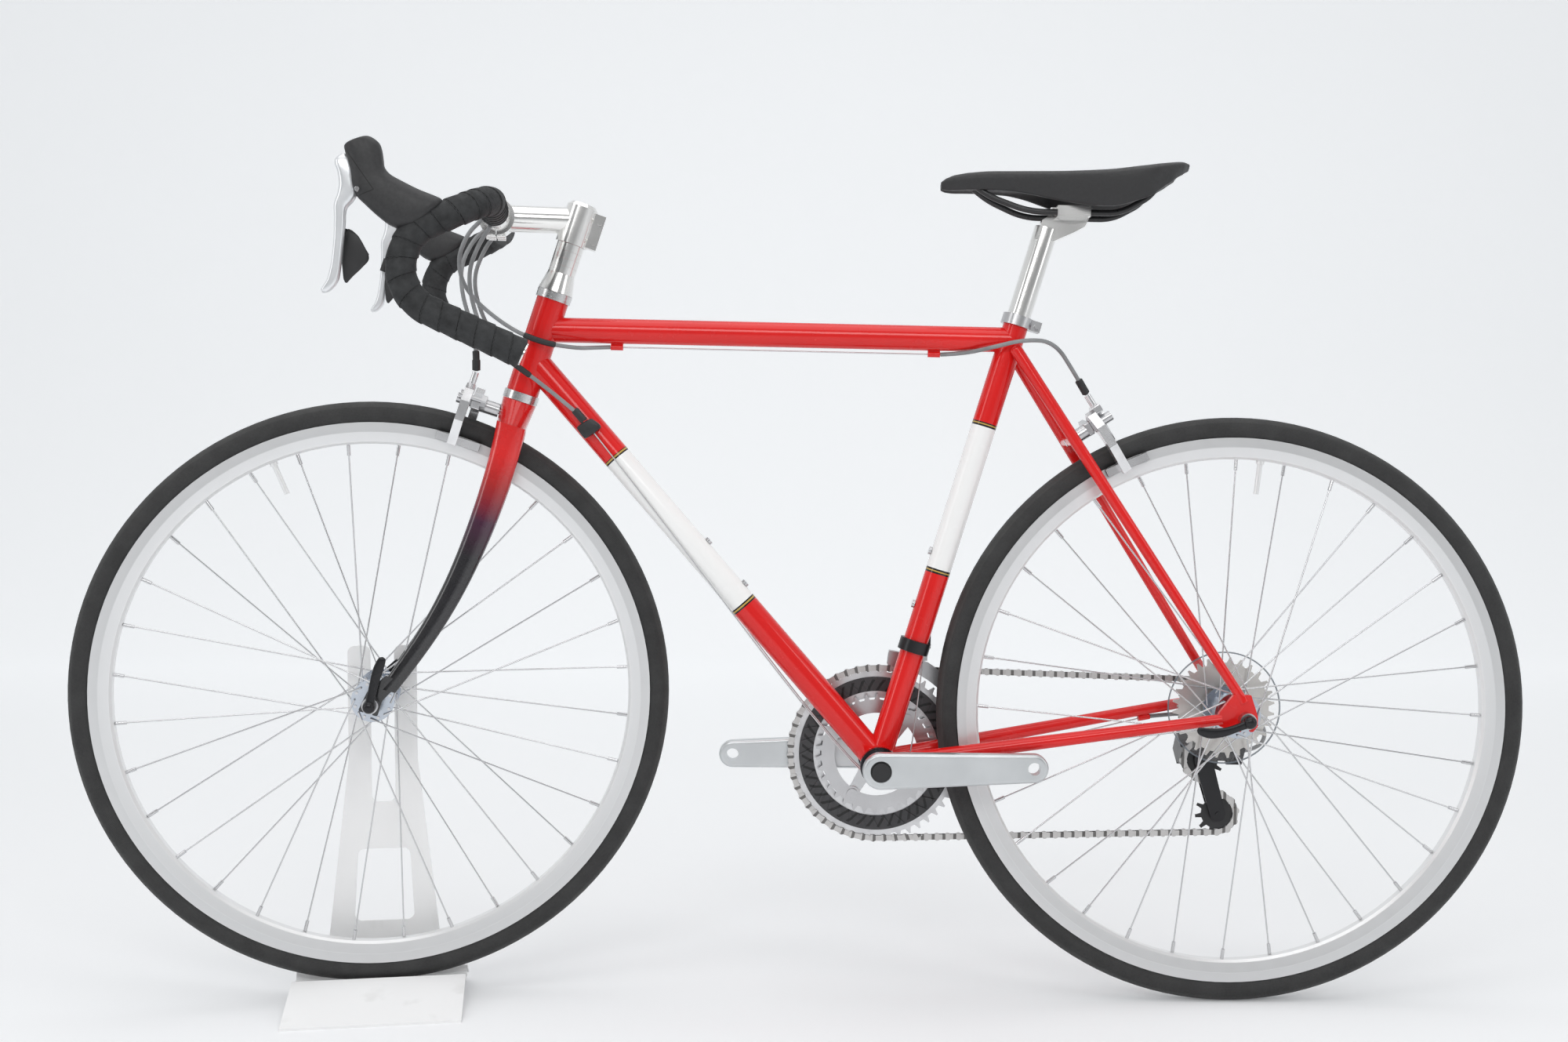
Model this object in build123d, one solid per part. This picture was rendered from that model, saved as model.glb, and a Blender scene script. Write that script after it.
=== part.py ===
from build123d import *
from math import asin, atan2, cos, degrees, hypot, pi, radians, sin, sqrt, tan
import os

# A road bicycle held by its front wheel in a low sheet-metal stand, in millimetres.
# +Z is up, the bicycle points along -X and its drive side faces +Y.
# The bicycle is drawn straight and level first: the ground under both tyres is Z = 0 and the
# two axles are half the wheelbase either side of X = 0. Then the fork is steered, the whole
# bicycle is tipped nose up onto the stand, and the origin is set below the middle of the box.

# How the bicycle stands
STEER = 8.9                    # degrees to the rider's left
NOSE_UP = 1.15                 # degrees
REST_GAP = 0.3                 # soft or resting faces of two bodies stay this far apart

# Wheels
WHEELBASE = 980.0
TYRE_SECTION = 13.0            # radius of the round tyre section
TYRE_WALL = 2.7
TYRE_RING = 323.0              # radius of the circle through the section's centre
BEAD_THICK = 1.6
RIM_TOP = 313.0
RIM_HALF_WIDTH = 9.8
RIM_FLANGE = 1.6
RIM_BED = 303.0
RIM_BED_THICK = 1.4
RIM_TRACK_END = 302.0
RIM_KNEE = 291.0
RIM_KNEE_HALF_WIDTH = 7.5
RIM_BOTTOM = 288.5
RIM_BOTTOM_HALF_WIDTH = 4.5
RIM_WALL = 1.5
VALVE_RADIUS = 3.0
VALVE_TIP = 250.0
VALVE_NUT_RADIUS = 4.6
VALVE_NUT_THICK = 3.5
FRONT_VALVE_ANGLE = 118.1
FRONT_WHEEL_TURN = -5.0        # degrees the front wheel is turned about its axle
REAR_VALVE_ANGLE = 84.4
SPOKE_PAIRS = 8                # leading and trailing spokes on each flange
SPOKE_CROSS = 67.5             # degrees from a spoke's flange hole to its rim hole
SPOKE_RADIUS = 0.9
SPOKE_HEAD_RADIUS = 1.7
SPOKE_HEAD_THICK = 1.0
SPOKE_RIM_OFFSET = 2.0
NIPPLE_RADIUS = 2.0
NIPPLE_LENGTH = 12.0
NIPPLE_GAP = 0.5
FLANGE_THICK = 3.0
FLANGE_LIP = 4.0               # flange metal outside the ring of spoke holes
FLANGE_CLEAR = 1.8             # room for an outer spoke to pass the flange's edge
SPOKE_HOLE_CLEAR = 0.3
FRONT_FLANGE_HOLES = 20.0
FRONT_FLANGE_Y = 35.0
FRONT_BARREL_RADIUS = 11.0
REAR_FLANGE_HOLES = 22.0
REAR_FLANGE_LEFT_Y = -37.0
REAR_FLANGE_RIGHT_Y = 13.0
REAR_BARREL_RADIUS = 14.0
HUB_END_RADIUS = 10.0
HUB_END_GAP = 0.4
AXLE_RADIUS = 5.0
AXLE_BORE_RADIUS = 2.7
SKEWER_RADIUS = 2.5
RUNNING_FIT = 0.05             # radial clearance of a bore on its shaft
LOCKNUT_RADIUS = 8.5
LOCKNUT_THICK = 3.0
FRONT_DROPOUT_INNER = 50.0
REAR_DROPOUT_INNER = 65.0
DROPOUT_THICK = 6.0
SKEWER_NUT_RADIUS = 9.0
SKEWER_NUT_THICK = 12.0
SKEWER_CAP_THICK = 10.0
QUICK_LEVER_LENGTH = 58.0
QUICK_LEVER_WIDTH = 11.0
QUICK_LEVER_THICK = 5.0
QUICK_EYE_RADIUS = 5.0

# Frame
BB_DROP = 66.0
CHAINSTAY_LENGTH = 407.0
SEAT_ANGLE = 73.7
SEAT_TUBE_LENGTH = 534.0
SEAT_TUBE_RADIUS = 14.3
HEAD_ANGLE = 72.5
HEAD_TUBE_LENGTH = 111.0
HEAD_TUBE_RADIUS = 18.4
HEAD_TUBE_WALL = 2.6
TOP_TUBE_RADIUS = 14.3
TOP_TUBE_BELOW_HEAD_TOP = 35.0
TOP_TUBE_BELOW_SEAT_TOP = 28.0
DOWN_TUBE_RADIUS = 15.9
DOWN_TUBE_ABOVE_HEAD_BOTTOM = 40.0
BB_SHELL_RADIUS = 20.0
BB_SHELL_LENGTH = 68.0
BB_CUP_RADIUS = 22.0
BB_CUP_THICK = 6.5
SPINDLE_RADIUS = 12.0
CHAINSTAY_RADIUS = 9.0
CHAINSTAY_END_RADIUS = 6.0
CHAINSTAY_BB_Y = 18.5
SEATSTAY_RADIUS = 7.0
SEATSTAY_END_RADIUS = 5.5
SEATSTAY_CAP_ROUND = 5.0
SEATSTAY_CAP_ABOVE = 6.0        # cap beyond the stay's meeting with the seat tube
SEATSTAY_TOP_Y = 19.5
SEATSTAY_BELOW_SEAT_TOP = 42.0
STAY_END_GAP = 24.0            # from the axle to where a stay meets its dropout plate
BRIDGE_FROM_AXLE = 362.0
BRIDGE_RADIUS = 6.0
BOLT_HEAD_RADIUS = 4.5
BOLT_HEAD_THICK = 3.0
JOINT_GAP = 0.02               # hairline between two tubes that are brazed together
TUBE_WALL = 0.9
STOP_FROM_HEAD = 78.0          # along the top tube to its first cable stop
STOP_FROM_SEAT = 95.0          # from its seat end to the second
STOP_DROP = 4.0
STOP_LENGTH = 14.0
STOP_RADIUS = 3.4
ADJUSTER_ALONG = 510.0
ADJUSTER_Y = 18.5
ADJUSTER_RADIUS = 4.2
ADJUSTER_LENGTH = 26.0
GUIDE_PLATE_THICK = 2.0
STAY_STOP_AHEAD = 66.0
BOTTLE_BOLTS_DOWN = [255.0, 319.0]
BOTTLE_BOLTS_SEAT = [185.0, 249.0]

# Fork and headset
RAKE = 50.0
FORK_LENGTH = 382.0
STEERER_RADIUS = 14.25
CROWN_TOP_RADIUS = 19.5
CROWN_DEPTH = 32.0
LOWER_RACE_HEIGHT = 10.0
CUP_RADIUS = 20.2
UPPER_CUP_HEIGHT = 9.5
CONE_HEIGHT = 22.0
SPACER_RADIUS = 15.5
SPACER_COUNT = 4
SPACER_HEIGHT = 8.7
STEM_CLAMP_HEIGHT = 44.0
STEM_CLAMP_WALL = 4.0
STEM_LENGTH = 92.0
STEM_RADIUS = 15.0
STEM_PINCH_LENGTH = 10.0
BAR_CLAMP_RADIUS = 15.9
BAR_CLAMP_WIDTH = 42.0
BAR_CLAMP_WALL = 4.5
FACEPLATE_SPLIT = 1.5
CROWN_DEPTH_HALF = 17.0
CROWN_HALF_WIDTH = 37.0
CAP_HEIGHT = 4.0
SPLIT_BOLT_RADIUS = 4.5

# Handlebar, hoods and levers, in the fork's own frame
BAR_RADIUS = 11.9
TAPE_RADIUS = 15.6
TAPE_START = 60.0
TAPE_FIT = 0.1
BAR_HALF_WIDTH = 205.0
BAR_RAMP_FORWARD = 62.0
BAR_RAMP_DROP = 59.0
BAR_FRONT_DROP = 64.0
BAR_DROP_LENGTH = 144.0
BAR_END_DROP = 16.0
BAR_BENDS = [50.0, 45.0, 46.0]
HOOD_HALF_WIDTH = 15.0
HOOD_BEVEL = 5.0
HOOD_OUTLINE = [(-233, 180), (-226, 189), (-213, 193), (-202, 188), (-192, 172), (-171, 164), (-148, 161),
                (-126, 162), (-146, 133), (-157, 119), (-168, 118), (-190, 126), (-195, 134), (-197, 154),
                (-216, 165)]
LEVER_PIVOT = (-210.0, 142.0)
LEVER_PIVOT_RADIUS = 6.5
LEVER_PIN_RADIUS = 2.5
LEVER_HALF_WIDTH = 8.5
TONGUE_HALF_WIDTH = 4.0
LEVER_OUTLINE = [(-240, 163), (-236, 172), (-221, 157), (-204, 147), (-204, 137), (-213, 122), (-206, 98),
                 (-199, 56), (-204, 38), (-211, 34), (-215, 40), (-211, 58), (-219, 104), (-228, 130)]
PADDLE_OUTLINE = [(-209, 103), (-197, 98), (-182, 85), (-192, 59), (-203, 66), (-209, 84)]
PADDLE_PIN = (-213.0, 94.0)    # x, z of the paddle's hinge, whose axis runs up the lever
PADDLE_OFF = 12.6
PADDLE_THICK = 4.0
PADDLE_BARREL_RADIUS = 3.6
PADDLE_BARREL_HALF = 8.0
PADDLE_PIN_RADIUS = 1.6

# Brakes
PAD_GAP = 1.8                  # from a resting pad to the rim
PAD_LENGTH = 50.0
PAD_HEIGHT = 9.0
PAD_THICK = 7.0
ARM_THICK = 10.0
ARM_WIDTH = 11.0
ARM_GAP = 1.0
FRONT_BRAKE_DOWN = 28.0        # centre bolt below the head tube
BRAKE_STANDOFF = 22.0          # from the mounting face to the first arm
BRAKE_BOLT_RADIUS = 4.0
BRAKE_SIDE_PIVOT = 17.0
BARREL_RADIUS = 4.0
BARREL_LENGTH = 24.0
SIDE_PIVOT_UP = 5.0
BRAKE_MOUNT_DEPTH = 12.0
BRAKE_FRONT_FACE = 18.6

# Drive
CHAIN_PITCH = 12.7
ROLLER_RADIUS = 3.85
PIN_RADIUS = 1.8
PIN_CLEAR = 0.1
INNER_PLATE_Y = 1.15
PLATE_THICK = 0.8
PLATE_GAP = 0.1
PLATE_RADIUS = 4.1
BIG_TEETH = 50
SMALL_TEETH = 34
COGS = [28, 25, 23, 21, 19, 17, 15, 14, 13, 12, 11]
DRIVE_COG = 14
COG_SPACING = 3.74
COG_THICK = 1.6
PULLEY_TEETH = 11
PULLEY_THICK = 2.0
CHAIN_Y = 47.0
RING_SPACING = 7.0
RING_THICK = 2.0
RING_BOLT_CIRCLE = 55.0
RING_BOLT_RADIUS = 4.5
RING_LUG_RADIUS = 9.0
BIG_RING_INNER = 66.0
SMALL_RING_INNER = 49.0
SPIDER_ANGLES = [58.0, 133.0, -133.0, -58.0]
RESIN_INNER = 74.0
RESIN_OUTER = 91.0
RESIN_THICK = 1.4
RESIN_RIBS = 36
RESIN_RIB_HEIGHT = 1.6
CRANK_LENGTH = 170.0
CRANK_ANGLE = 2.2
CRANK_INNER_Y = 55.0
CRANK_THICK = 15.0
CRANK_BOSS_RADIUS = 20.5
CRANK_END_RADIUS = 16.0
CRANK_ROUND = 4.0
PEDAL_HOLE_RADIUS = 7.1
CRANK_CAP_RADIUS = 10.0
CASSETTE_BODY_RADIUS = 17.0
SPOKE_DISC_RADIUS = 65.5
SPOKE_DISC_THICK = 1.2
TOOTH_TIP = 2.2
TOOTH_TIP_HALF = 0.9
GAP_HALF = 4.7
GAP_FLOOR_HALF = 2.6
GAP_DEPTH = 4.3
RESIN_SLANT = 28.0
RESIN_RIB_WIDTH = 3.0
SPIDER_HALF_WIDTH = 9.0
LOCKRING_THICK = 3.0

# Rear mech: guide pulley centre from the rear axle, cage length, swing links
GUIDE_BACK = -16.0
GUIDE_DOWN = 66.0
CAGE_LENGTH = 66.0
CAGE_PLATE_THICK = 1.5
CAGE_HALF_WIDTH = 4.6
HANGER_BACK = 8.0
HANGER_DOWN = 29.0
LINK_LENGTH = 50.0
LINK_SPACING = 16.0
LINK_THICK = 6.0
LINK_HEIGHT = 22.0
LINK_PIN_RADIUS = 2.0
EAR_THICK = 3.5
EAR_GAP = 0.4
MECH_BACK = 26.0               # links' fixed pins from the rear axle
MECH_DOWN = 58.0
MECH_Y = 82.0
MECH_TILT = 55.3               # degrees from upright to the links' pins
CAGE_ANGLE = 10.0              # degrees the cage hangs back from upright, before the chain is fitted
LINK_END = 5.0
PIVOT_RADIUS = 4.0
PIVOT_HOUSING = 12.0
PIVOT_DEPTH = 6.5
HANGER_BOSS_RADIUS = 8.0
HANGER_BOSS_THICK = 10.0
PULLEY_BOLT_RADIUS = 2.5

# Front mech
MECH_BAND_ABOVE_BB = 139.0
MECH_BAND_RADIUS = 18.0
MECH_BAND_HEIGHT = 14.0
FRONT_CAGE_CLEAR = 3.0
FRONT_CAGE_DEPTH = 17.0
FRONT_CAGE_SPAN = [38.0, 84.0]
FRONT_LINK_LENGTH = 20.0
FRONT_LINK_HALF = 5.0
FRONT_EAR = 4.5

# Seat
POST_RADIUS = 13.6
POST_INSERT = 120.0
POST_SHOWN = 104.0             # above the seat tube
COLLAR_HEIGHT = 12.0
COLLAR_THICK = 3.5
TILT_ABOVE_TUBE = 128.46        # from the seat tube's top
TILT_BEHIND_TUBE = 55.74
CRADLE_RADIUS = 24.0
CLAMP_LENGTH = 37.0
CLAMP_HALF_WIDTH = 28.0
CLAMP_THICK = 12.0
RAIL_RADIUS = 3.5
RAIL_HALF_SPAN = 22.0
RAIL_DROP = 13.0               # rails below the tilt axis
POST_HALF_HEAD = 12.0
SADDLE_SECTIONS = [             # from the tilt axis: x, half width, top, widest height, bottom half width, bottom
    (-147.5, 10, 26, 21, 7, 12), (-134, 17, 33, 23, 13, 9), (-104, 20, 36, 25, 16, 9),
    (-60, 25, 36.5, 25, 20, 8), (-10, 42, 37, 24, 36, -3), (38, 62, 39, 24, 55, -11),
    (80, 69, 44, 29, 62, 2), (112, 62, 48, 34, 55, 21), (131, 46, 46, 38, 40, 32)]
SADDLE_WELL = 32.0             # half width of the hollow under the saddle
SADDLE_WELL_TOP = 12.0         # above the tilt axis

# Stand
STAND_SHEET = 3.0
STAND_BASE_LENGTH = 196.0
STAND_FRONT_EDGE = 103.0
STAND_RIDGE_HEIGHT = 7.5
STAND_RIDGE_HALF = 17.0
STAND_TROUGH_HALF = 13.5
STAND_UPRIGHT_GAP = 4.0
STAND_UPRIGHT_ABOVE_AXLE = 50.0
STAND_TOP_WIDTH = 80.0
STAND_FOOT_WIDTH = 142.0
STAND_TAPER_TOP = 270.0
STAND_SLOT_WIDTH = 27.5
STAND_SLOT_BOTTOM = 219.0
STAND_WINDOW = [77.0, 163.0]
STAND_WINDOW_WIDTH = 70.0
STAND_CORNER = 8.0

# Cables
HOUSING_RADIUS = 2.4
WIRE_RADIUS = 0.8
BAR_EXIT = 15.2                # cable's distance from the bar's axis where it leaves the tape
CABLE_GAP = 0.8
BARREL_GAP = 1.15              # room for a brake's barrel to rise as its arm closes
HOUSING_GAP = 0.6              # from a housing's end to its stop
BAR_RUN = 9.0                  # length beside the bar before a cable bends away

# Places worked out from the sizes
WHEEL_RADIUS = TYRE_RING + TYRE_SECTION
REAR_AXLE = Vector(WHEELBASE / 2, 0, WHEEL_RADIUS)
FRONT_AXLE = Vector(-WHEELBASE / 2, 0, WHEEL_RADIUS)
BB = Vector(REAR_AXLE.X - sqrt(CHAINSTAY_LENGTH**2 - BB_DROP**2), 0, WHEEL_RADIUS - BB_DROP)
HEAD_DIR = Vector(cos(radians(HEAD_ANGLE)), 0, sin(radians(HEAD_ANGLE)))
HEAD_SIDE = Vector(HEAD_DIR.Z, 0, -HEAD_DIR.X)
HEAD_BOTTOM = FRONT_AXLE + HEAD_SIDE * RAKE + HEAD_DIR * FORK_LENGTH
FORK = Plane(HEAD_BOTTOM, x_dir=HEAD_SIDE, z_dir=HEAD_DIR)
SEAT_DIR = Vector(cos(radians(SEAT_ANGLE)), 0, sin(radians(SEAT_ANGLE)))
SEAT = Plane(BB, x_dir=(SEAT_DIR.Z, 0, -SEAT_DIR.X), z_dir=SEAT_DIR)


def rod(a, b, radius):
    """A round bar from point a to point b."""
    a, b = Vector(a), Vector(b)
    return Solid.make_cylinder(radius, (b - a).length, Plane(a, z_dir=b - a))


def taper(a, b, radius_a, radius_b):
    """A round bar from a to b whose radius changes evenly."""
    a, b = Vector(a), Vector(b)
    return Solid.make_cone(radius_a, radius_b, (b - a).length, Plane(a, z_dir=b - a))


def fuse(*shapes):
    """One solid from overlapping shapes."""
    return Part() + list(shapes)


def group(*shapes):
    """Separate solids that belong to one named piece."""
    return Compound([solid for shape in shapes for solid in shape.solids()])


def plate(points, y0, y1, corner=0.0):
    """A flat plate between y0 and y1 with the outline (x, z), corners rounded."""
    outline = Polygon(*points, align=None)
    if corner > 0:
        outline = fillet(outline.vertices(), corner)
    return extrude(Plane.XZ.offset(-y0) * outline, y1 - y0, dir=(0, 1, 0))


def turned(points):
    """A ring about the Y axis from its half section (radius, y)."""
    return revolve(Polygon(*points, align=None), Axis.Y, 360)


def disc(radius, y0, y1, inner=0.0, at=(0, 0)):
    """A round disc or ring about a line along Y through (x, z)."""
    body = rod((at[0], y0, at[1]), (at[0], y1, at[1]), radius)
    if inner > 0:
        body = body - rod((at[0], y0 - 1, at[1]), (at[0], y1 + 1, at[1]), inner)
    return body


def spin(angle):
    """A turn about Y that lifts +X towards +Z by the angle in degrees."""
    return Rot(0, -angle, 0)


def sided_box(x0, x1, y0, y1, z0, z1):
    """A box from its six sides."""
    return Pos((x0 + x1) / 2, (y0 + y1) / 2, (z0 + z1) / 2) * Box(x1 - x0, y1 - y0, z1 - z0)


def route(points, share=0.45):
    """A path of straight runs joined by tangent arcs, each as large as its runs allow."""
    points = [Vector(p) for p in points]
    radii = []
    for before, corner, after in zip(points, points[1:], points[2:]):
        half_turn = radians((corner - before).get_angle(after - corner)) / 2
        run = min((corner - before).length, (after - corner).length)
        radii.append(share * run / tan(half_turn))
    return FilletPolyline(*points, radius=radii)


def cable(points, radius):
    """A round cable along a route."""
    path = route(points)
    return sweep(Plane(path @ 0, z_dir=path % 0) * Circle(radius), path)


# Wheels, drawn about the Y axis with the axle at the origin

def tyre():
    """Round tyre, open towards the rim, with two bead legs inside the rim's flanges."""
    foot = RIM_TOP + TAPE_FIT
    section = Pos(TYRE_RING, 0) * (Circle(TYRE_SECTION) - Circle(TYRE_SECTION - TYRE_WALL))
    section -= Pos(foot - TYRE_SECTION, 0) * Rectangle(2 * TYRE_SECTION, 4 * TYRE_SECTION)
    outer = RIM_HALF_WIDTH - RIM_FLANGE - 2 * TAPE_FIT
    low = RIM_BED + REST_GAP
    for side in (-1, 1):
        leg = Pos((foot + 1 + low) / 2, side * (outer - BEAD_THICK / 2))
        section += leg * Rectangle(foot + 1 - low, BEAD_THICK)
    return revolve(section, Axis.Y, 360)


def rim(valve_angle):
    """Hollow box rim with flanges, flat brake tracks and a valve in its drilled hole."""
    half = [(RIM_TOP, RIM_HALF_WIDTH), (RIM_TRACK_END, RIM_HALF_WIDTH),
            (RIM_KNEE, RIM_KNEE_HALF_WIDTH), (RIM_BOTTOM, RIM_BOTTOM_HALF_WIDTH)]
    well = RIM_HALF_WIDTH - RIM_FLANGE
    outline = half + [(r, -w) for r, w in reversed(half)]
    outline += [(RIM_TOP, -well), (RIM_BED, -well), (RIM_BED, well), (RIM_TOP, well)]
    cave = [(RIM_BED - RIM_BED_THICK, RIM_HALF_WIDTH - RIM_WALL),
            (RIM_TRACK_END - RIM_WALL, RIM_HALF_WIDTH - RIM_WALL),
            (RIM_KNEE + RIM_WALL / 2, RIM_KNEE_HALF_WIDTH - RIM_WALL),
            (RIM_BOTTOM + RIM_WALL, RIM_BOTTOM_HALF_WIDTH - RIM_WALL / 2)]
    cave += [(r, -w) for r, w in reversed(cave)]
    ring = turned(outline) - turned(cave)
    hole = rod((RIM_BOTTOM - 5, 0, 0), (RIM_BED + 5, 0, 0), VALVE_RADIUS + 2 * TAPE_FIT)
    ring = ring - hole
    nut_top = RIM_BOTTOM - TAPE_FIT
    valve = fuse(rod((VALVE_TIP, 0, 0), (RIM_BED - TAPE_FIT, 0, 0), VALVE_RADIUS),
                 rod((nut_top - VALVE_NUT_THICK, 0, 0), (nut_top, 0, 0), VALVE_NUT_RADIUS))
    return spin(valve_angle) * group(ring, valve)


def spoke(flange_y, holes, start, outside, rim_y):
    """A bent spoke from its flange hole to the rim, with its head and nipple."""
    side = 1 if flange_y > 0 else -1
    cross = SPOKE_CROSS if outside else -SPOKE_CROSS
    a, b = radians(start), radians(start + cross)
    reach = FLANGE_THICK / 2 + SPOKE_RADIUS
    if outside:
        elbow_y = flange_y + side * (reach + FLANGE_CLEAR)
        head_y = flange_y - side * FLANGE_THICK / 2
    else:
        elbow_y = flange_y - side * (reach + SPOKE_HOLE_CLEAR)
        head_y = flange_y + side * FLANGE_THICK / 2
    away = 1 if head_y > elbow_y else -1
    head_y += away * TAPE_FIT
    elbow = Vector(holes * cos(a), elbow_y, holes * sin(a))
    top = RIM_BOTTOM - NIPPLE_GAP
    tip = Vector(top * cos(b), rim_y, top * sin(b))
    neck = tip + (elbow - tip).normalized() * NIPPLE_LENGTH
    head = Vector(elbow.X, head_y, elbow.Z)
    cap = head + Vector(0, away * SPOKE_HEAD_THICK, 0)
    ball = Pos(elbow) * Sphere(SPOKE_RADIUS)
    return fuse(rod(elbow, tip, SPOKE_RADIUS), rod(elbow, cap, SPOKE_RADIUS), ball,
                rod(head, cap, SPOKE_HEAD_RADIUS), rod(neck, tip, NIPPLE_RADIUS))


def spokes(left_y, right_y, holes):
    """Crossed spokes: on each flange half run outside and half inside."""
    step = 360 / SPOKE_PAIRS
    made = []
    for flange_y, offset in ((left_y, 0), (right_y, step / 4)):
        rim_y = SPOKE_RIM_OFFSET if flange_y > 0 else -SPOKE_RIM_OFFSET
        for start, outside in ((offset, True), (offset + step / 2, False)):
            one = spoke(flange_y, holes, start, outside, rim_y)
            made += [spin(step * i) * one for i in range(SPOKE_PAIRS)]
    return group(*made)


def hub(left_y, right_y, holes, barrel, left_end, right_end):
    """Hub shell: barrel, two drilled flanges and a bore that runs on the axle."""
    flange = holes + FLANGE_LIP
    half = FLANGE_THICK / 2
    bore = AXLE_RADIUS + RUNNING_FIT
    root = holes - FLANGE_LIP
    shell = turned([(bore, left_end), (HUB_END_RADIUS, left_end), (HUB_END_RADIUS, left_y - half),
                    (flange, left_y - half), (flange, left_y + half), (root, left_y + half),
                    (barrel, left_y + half + 7), (barrel, right_y - half - 7),
                    (root, right_y - half), (flange, right_y - half),
                    (flange, right_y + half), (HUB_END_RADIUS, right_y + half),
                    (HUB_END_RADIUS, right_end), (bore, right_end)])
    step = 360 / SPOKE_PAIRS / 2
    drills = []
    for flange_y, offset in ((left_y, 0), (right_y, step / 2)):
        hole = disc(SPOKE_RADIUS + SPOKE_HOLE_CLEAR, flange_y - half - 2, flange_y + half + 2,
                    at=(holes, 0))
        drills += [spin(offset + step * i) * hole for i in range(2 * SPOKE_PAIRS)]
    return shell - drills


def axle(inner):
    """Hollow axle with lock nuts, the skewer through it, its nut and its cam housing."""
    end = inner + DROPOUT_THICK
    tube = rod((0, -end, 0), (0, end, 0), AXLE_RADIUS)
    for side in (-1, 1):
        tube = tube + rod((0, side * (inner - LOCKNUT_THICK), 0), (0, side * inner, 0), LOCKNUT_RADIUS)
    tube = tube - rod((0, -end - 1, 0), (0, end + 1, 0), AXLE_BORE_RADIUS)
    nut = taper((0, end, 0), (0, end + SKEWER_NUT_THICK, 0), SKEWER_NUT_RADIUS, SKEWER_NUT_RADIUS - 2)
    housing = rod((0, -end - SKEWER_CAP_THICK, 0), (0, -end, 0), SKEWER_NUT_RADIUS)
    skewer = fuse(rod((0, -end - 1, 0), (0, end + 1, 0), SKEWER_RADIUS), nut, housing)
    return group(tube, skewer)


def quick_lever(inner):
    """Quick release lever on its round cam eye, pointing along +X; the eye's axis is Z."""
    eye = QUICK_LEVER_WIDTH / 2
    y = -(inner + DROPOUT_THICK + SKEWER_CAP_THICK + REST_GAP + QUICK_EYE_RADIUS)
    half = QUICK_LEVER_THICK / 2
    points = [(0, -eye), (QUICK_LEVER_LENGTH * 0.6, -eye * 0.75), (QUICK_LEVER_LENGTH, -eye),
              (QUICK_LEVER_LENGTH, eye), (QUICK_LEVER_LENGTH * 0.6, eye * 0.75), (0, eye)]
    return fuse(plate(points, y - half, y + half), rod((0, y, -eye), (0, y, eye), QUICK_EYE_RADIUS))


# Frame, drawn in the level bicycle

DROPOUT_OUT = REAR_DROPOUT_INNER + DROPOUT_THICK
STAY_END_Y = REAR_DROPOUT_INNER + DROPOUT_THICK / 2
TRACK_MIDDLE = (RIM_TOP + RIM_TRACK_END) / 2


def head_point(along):
    """A point on the steering axis, measured up from the head tube's lower end."""
    return HEAD_BOTTOM + HEAD_DIR * along


def seat_point(along):
    """A point on the seat tube's axis, measured up from the bottom bracket."""
    return BB + SEAT_DIR * along


TOP_TUBE_ENDS = (head_point(HEAD_TUBE_LENGTH - TOP_TUBE_BELOW_HEAD_TOP),
                 seat_point(SEAT_TUBE_LENGTH - TOP_TUBE_BELOW_SEAT_TOP))
DOWN_TUBE_ENDS = (BB, head_point(DOWN_TUBE_ABOVE_HEAD_BOTTOM))


def head_core():
    """The space taken by the head tube."""
    return rod(head_point(0), head_point(HEAD_TUBE_LENGTH), HEAD_TUBE_RADIUS + JOINT_GAP)


def seat_core():
    """The space taken by the seat tube."""
    return rod(BB, seat_point(SEAT_TUBE_LENGTH), SEAT_TUBE_RADIUS + JOINT_GAP)


def shell_core():
    """The space taken by the bottom bracket shell."""
    half = BB_SHELL_LENGTH / 2
    return disc(BB_SHELL_RADIUS + JOINT_GAP, -half, half, at=(BB.X, BB.Z))


def down_core():
    """The space taken by the down tube."""
    return rod(*DOWN_TUBE_ENDS, DOWN_TUBE_RADIUS + JOINT_GAP)


def head_tube():
    bore = HEAD_TUBE_RADIUS - HEAD_TUBE_WALL
    return rod(head_point(0), head_point(HEAD_TUBE_LENGTH), HEAD_TUBE_RADIUS) - rod(
        head_point(-1), head_point(HEAD_TUBE_LENGTH + 1), bore)


def top_tube():
    """Top tube with a cable stop under each end."""
    a, b = TOP_TUBE_ENDS
    along = (b - a).normalized()
    tube = rod(a, b, TOP_TUBE_RADIUS) - rod(a, b, TOP_TUBE_RADIUS - TUBE_WALL)
    tube = tube - [head_core(), seat_core()]
    drop = Vector(0, 0, -TOP_TUBE_RADIUS - STOP_DROP)
    for start in STOPS_ALONG_TOP:
        at = a + along * start + drop
        stop = rod(at, at + along * STOP_LENGTH, STOP_RADIUS)
        stop = stop + sided_box(at.X, at.X + STOP_LENGTH, -1.5, 1.5, at.Z, at.Z + STOP_DROP + 0.5)
        tube = tube + (stop - rod(at - along, at + along * (STOP_LENGTH + 1), WIRE_RADIUS + REST_GAP))
    return tube


STOPS_ALONG_TOP = [STOP_FROM_HEAD, (TOP_TUBE_ENDS[1] - TOP_TUBE_ENDS[0]).length - STOP_FROM_SEAT]


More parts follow.
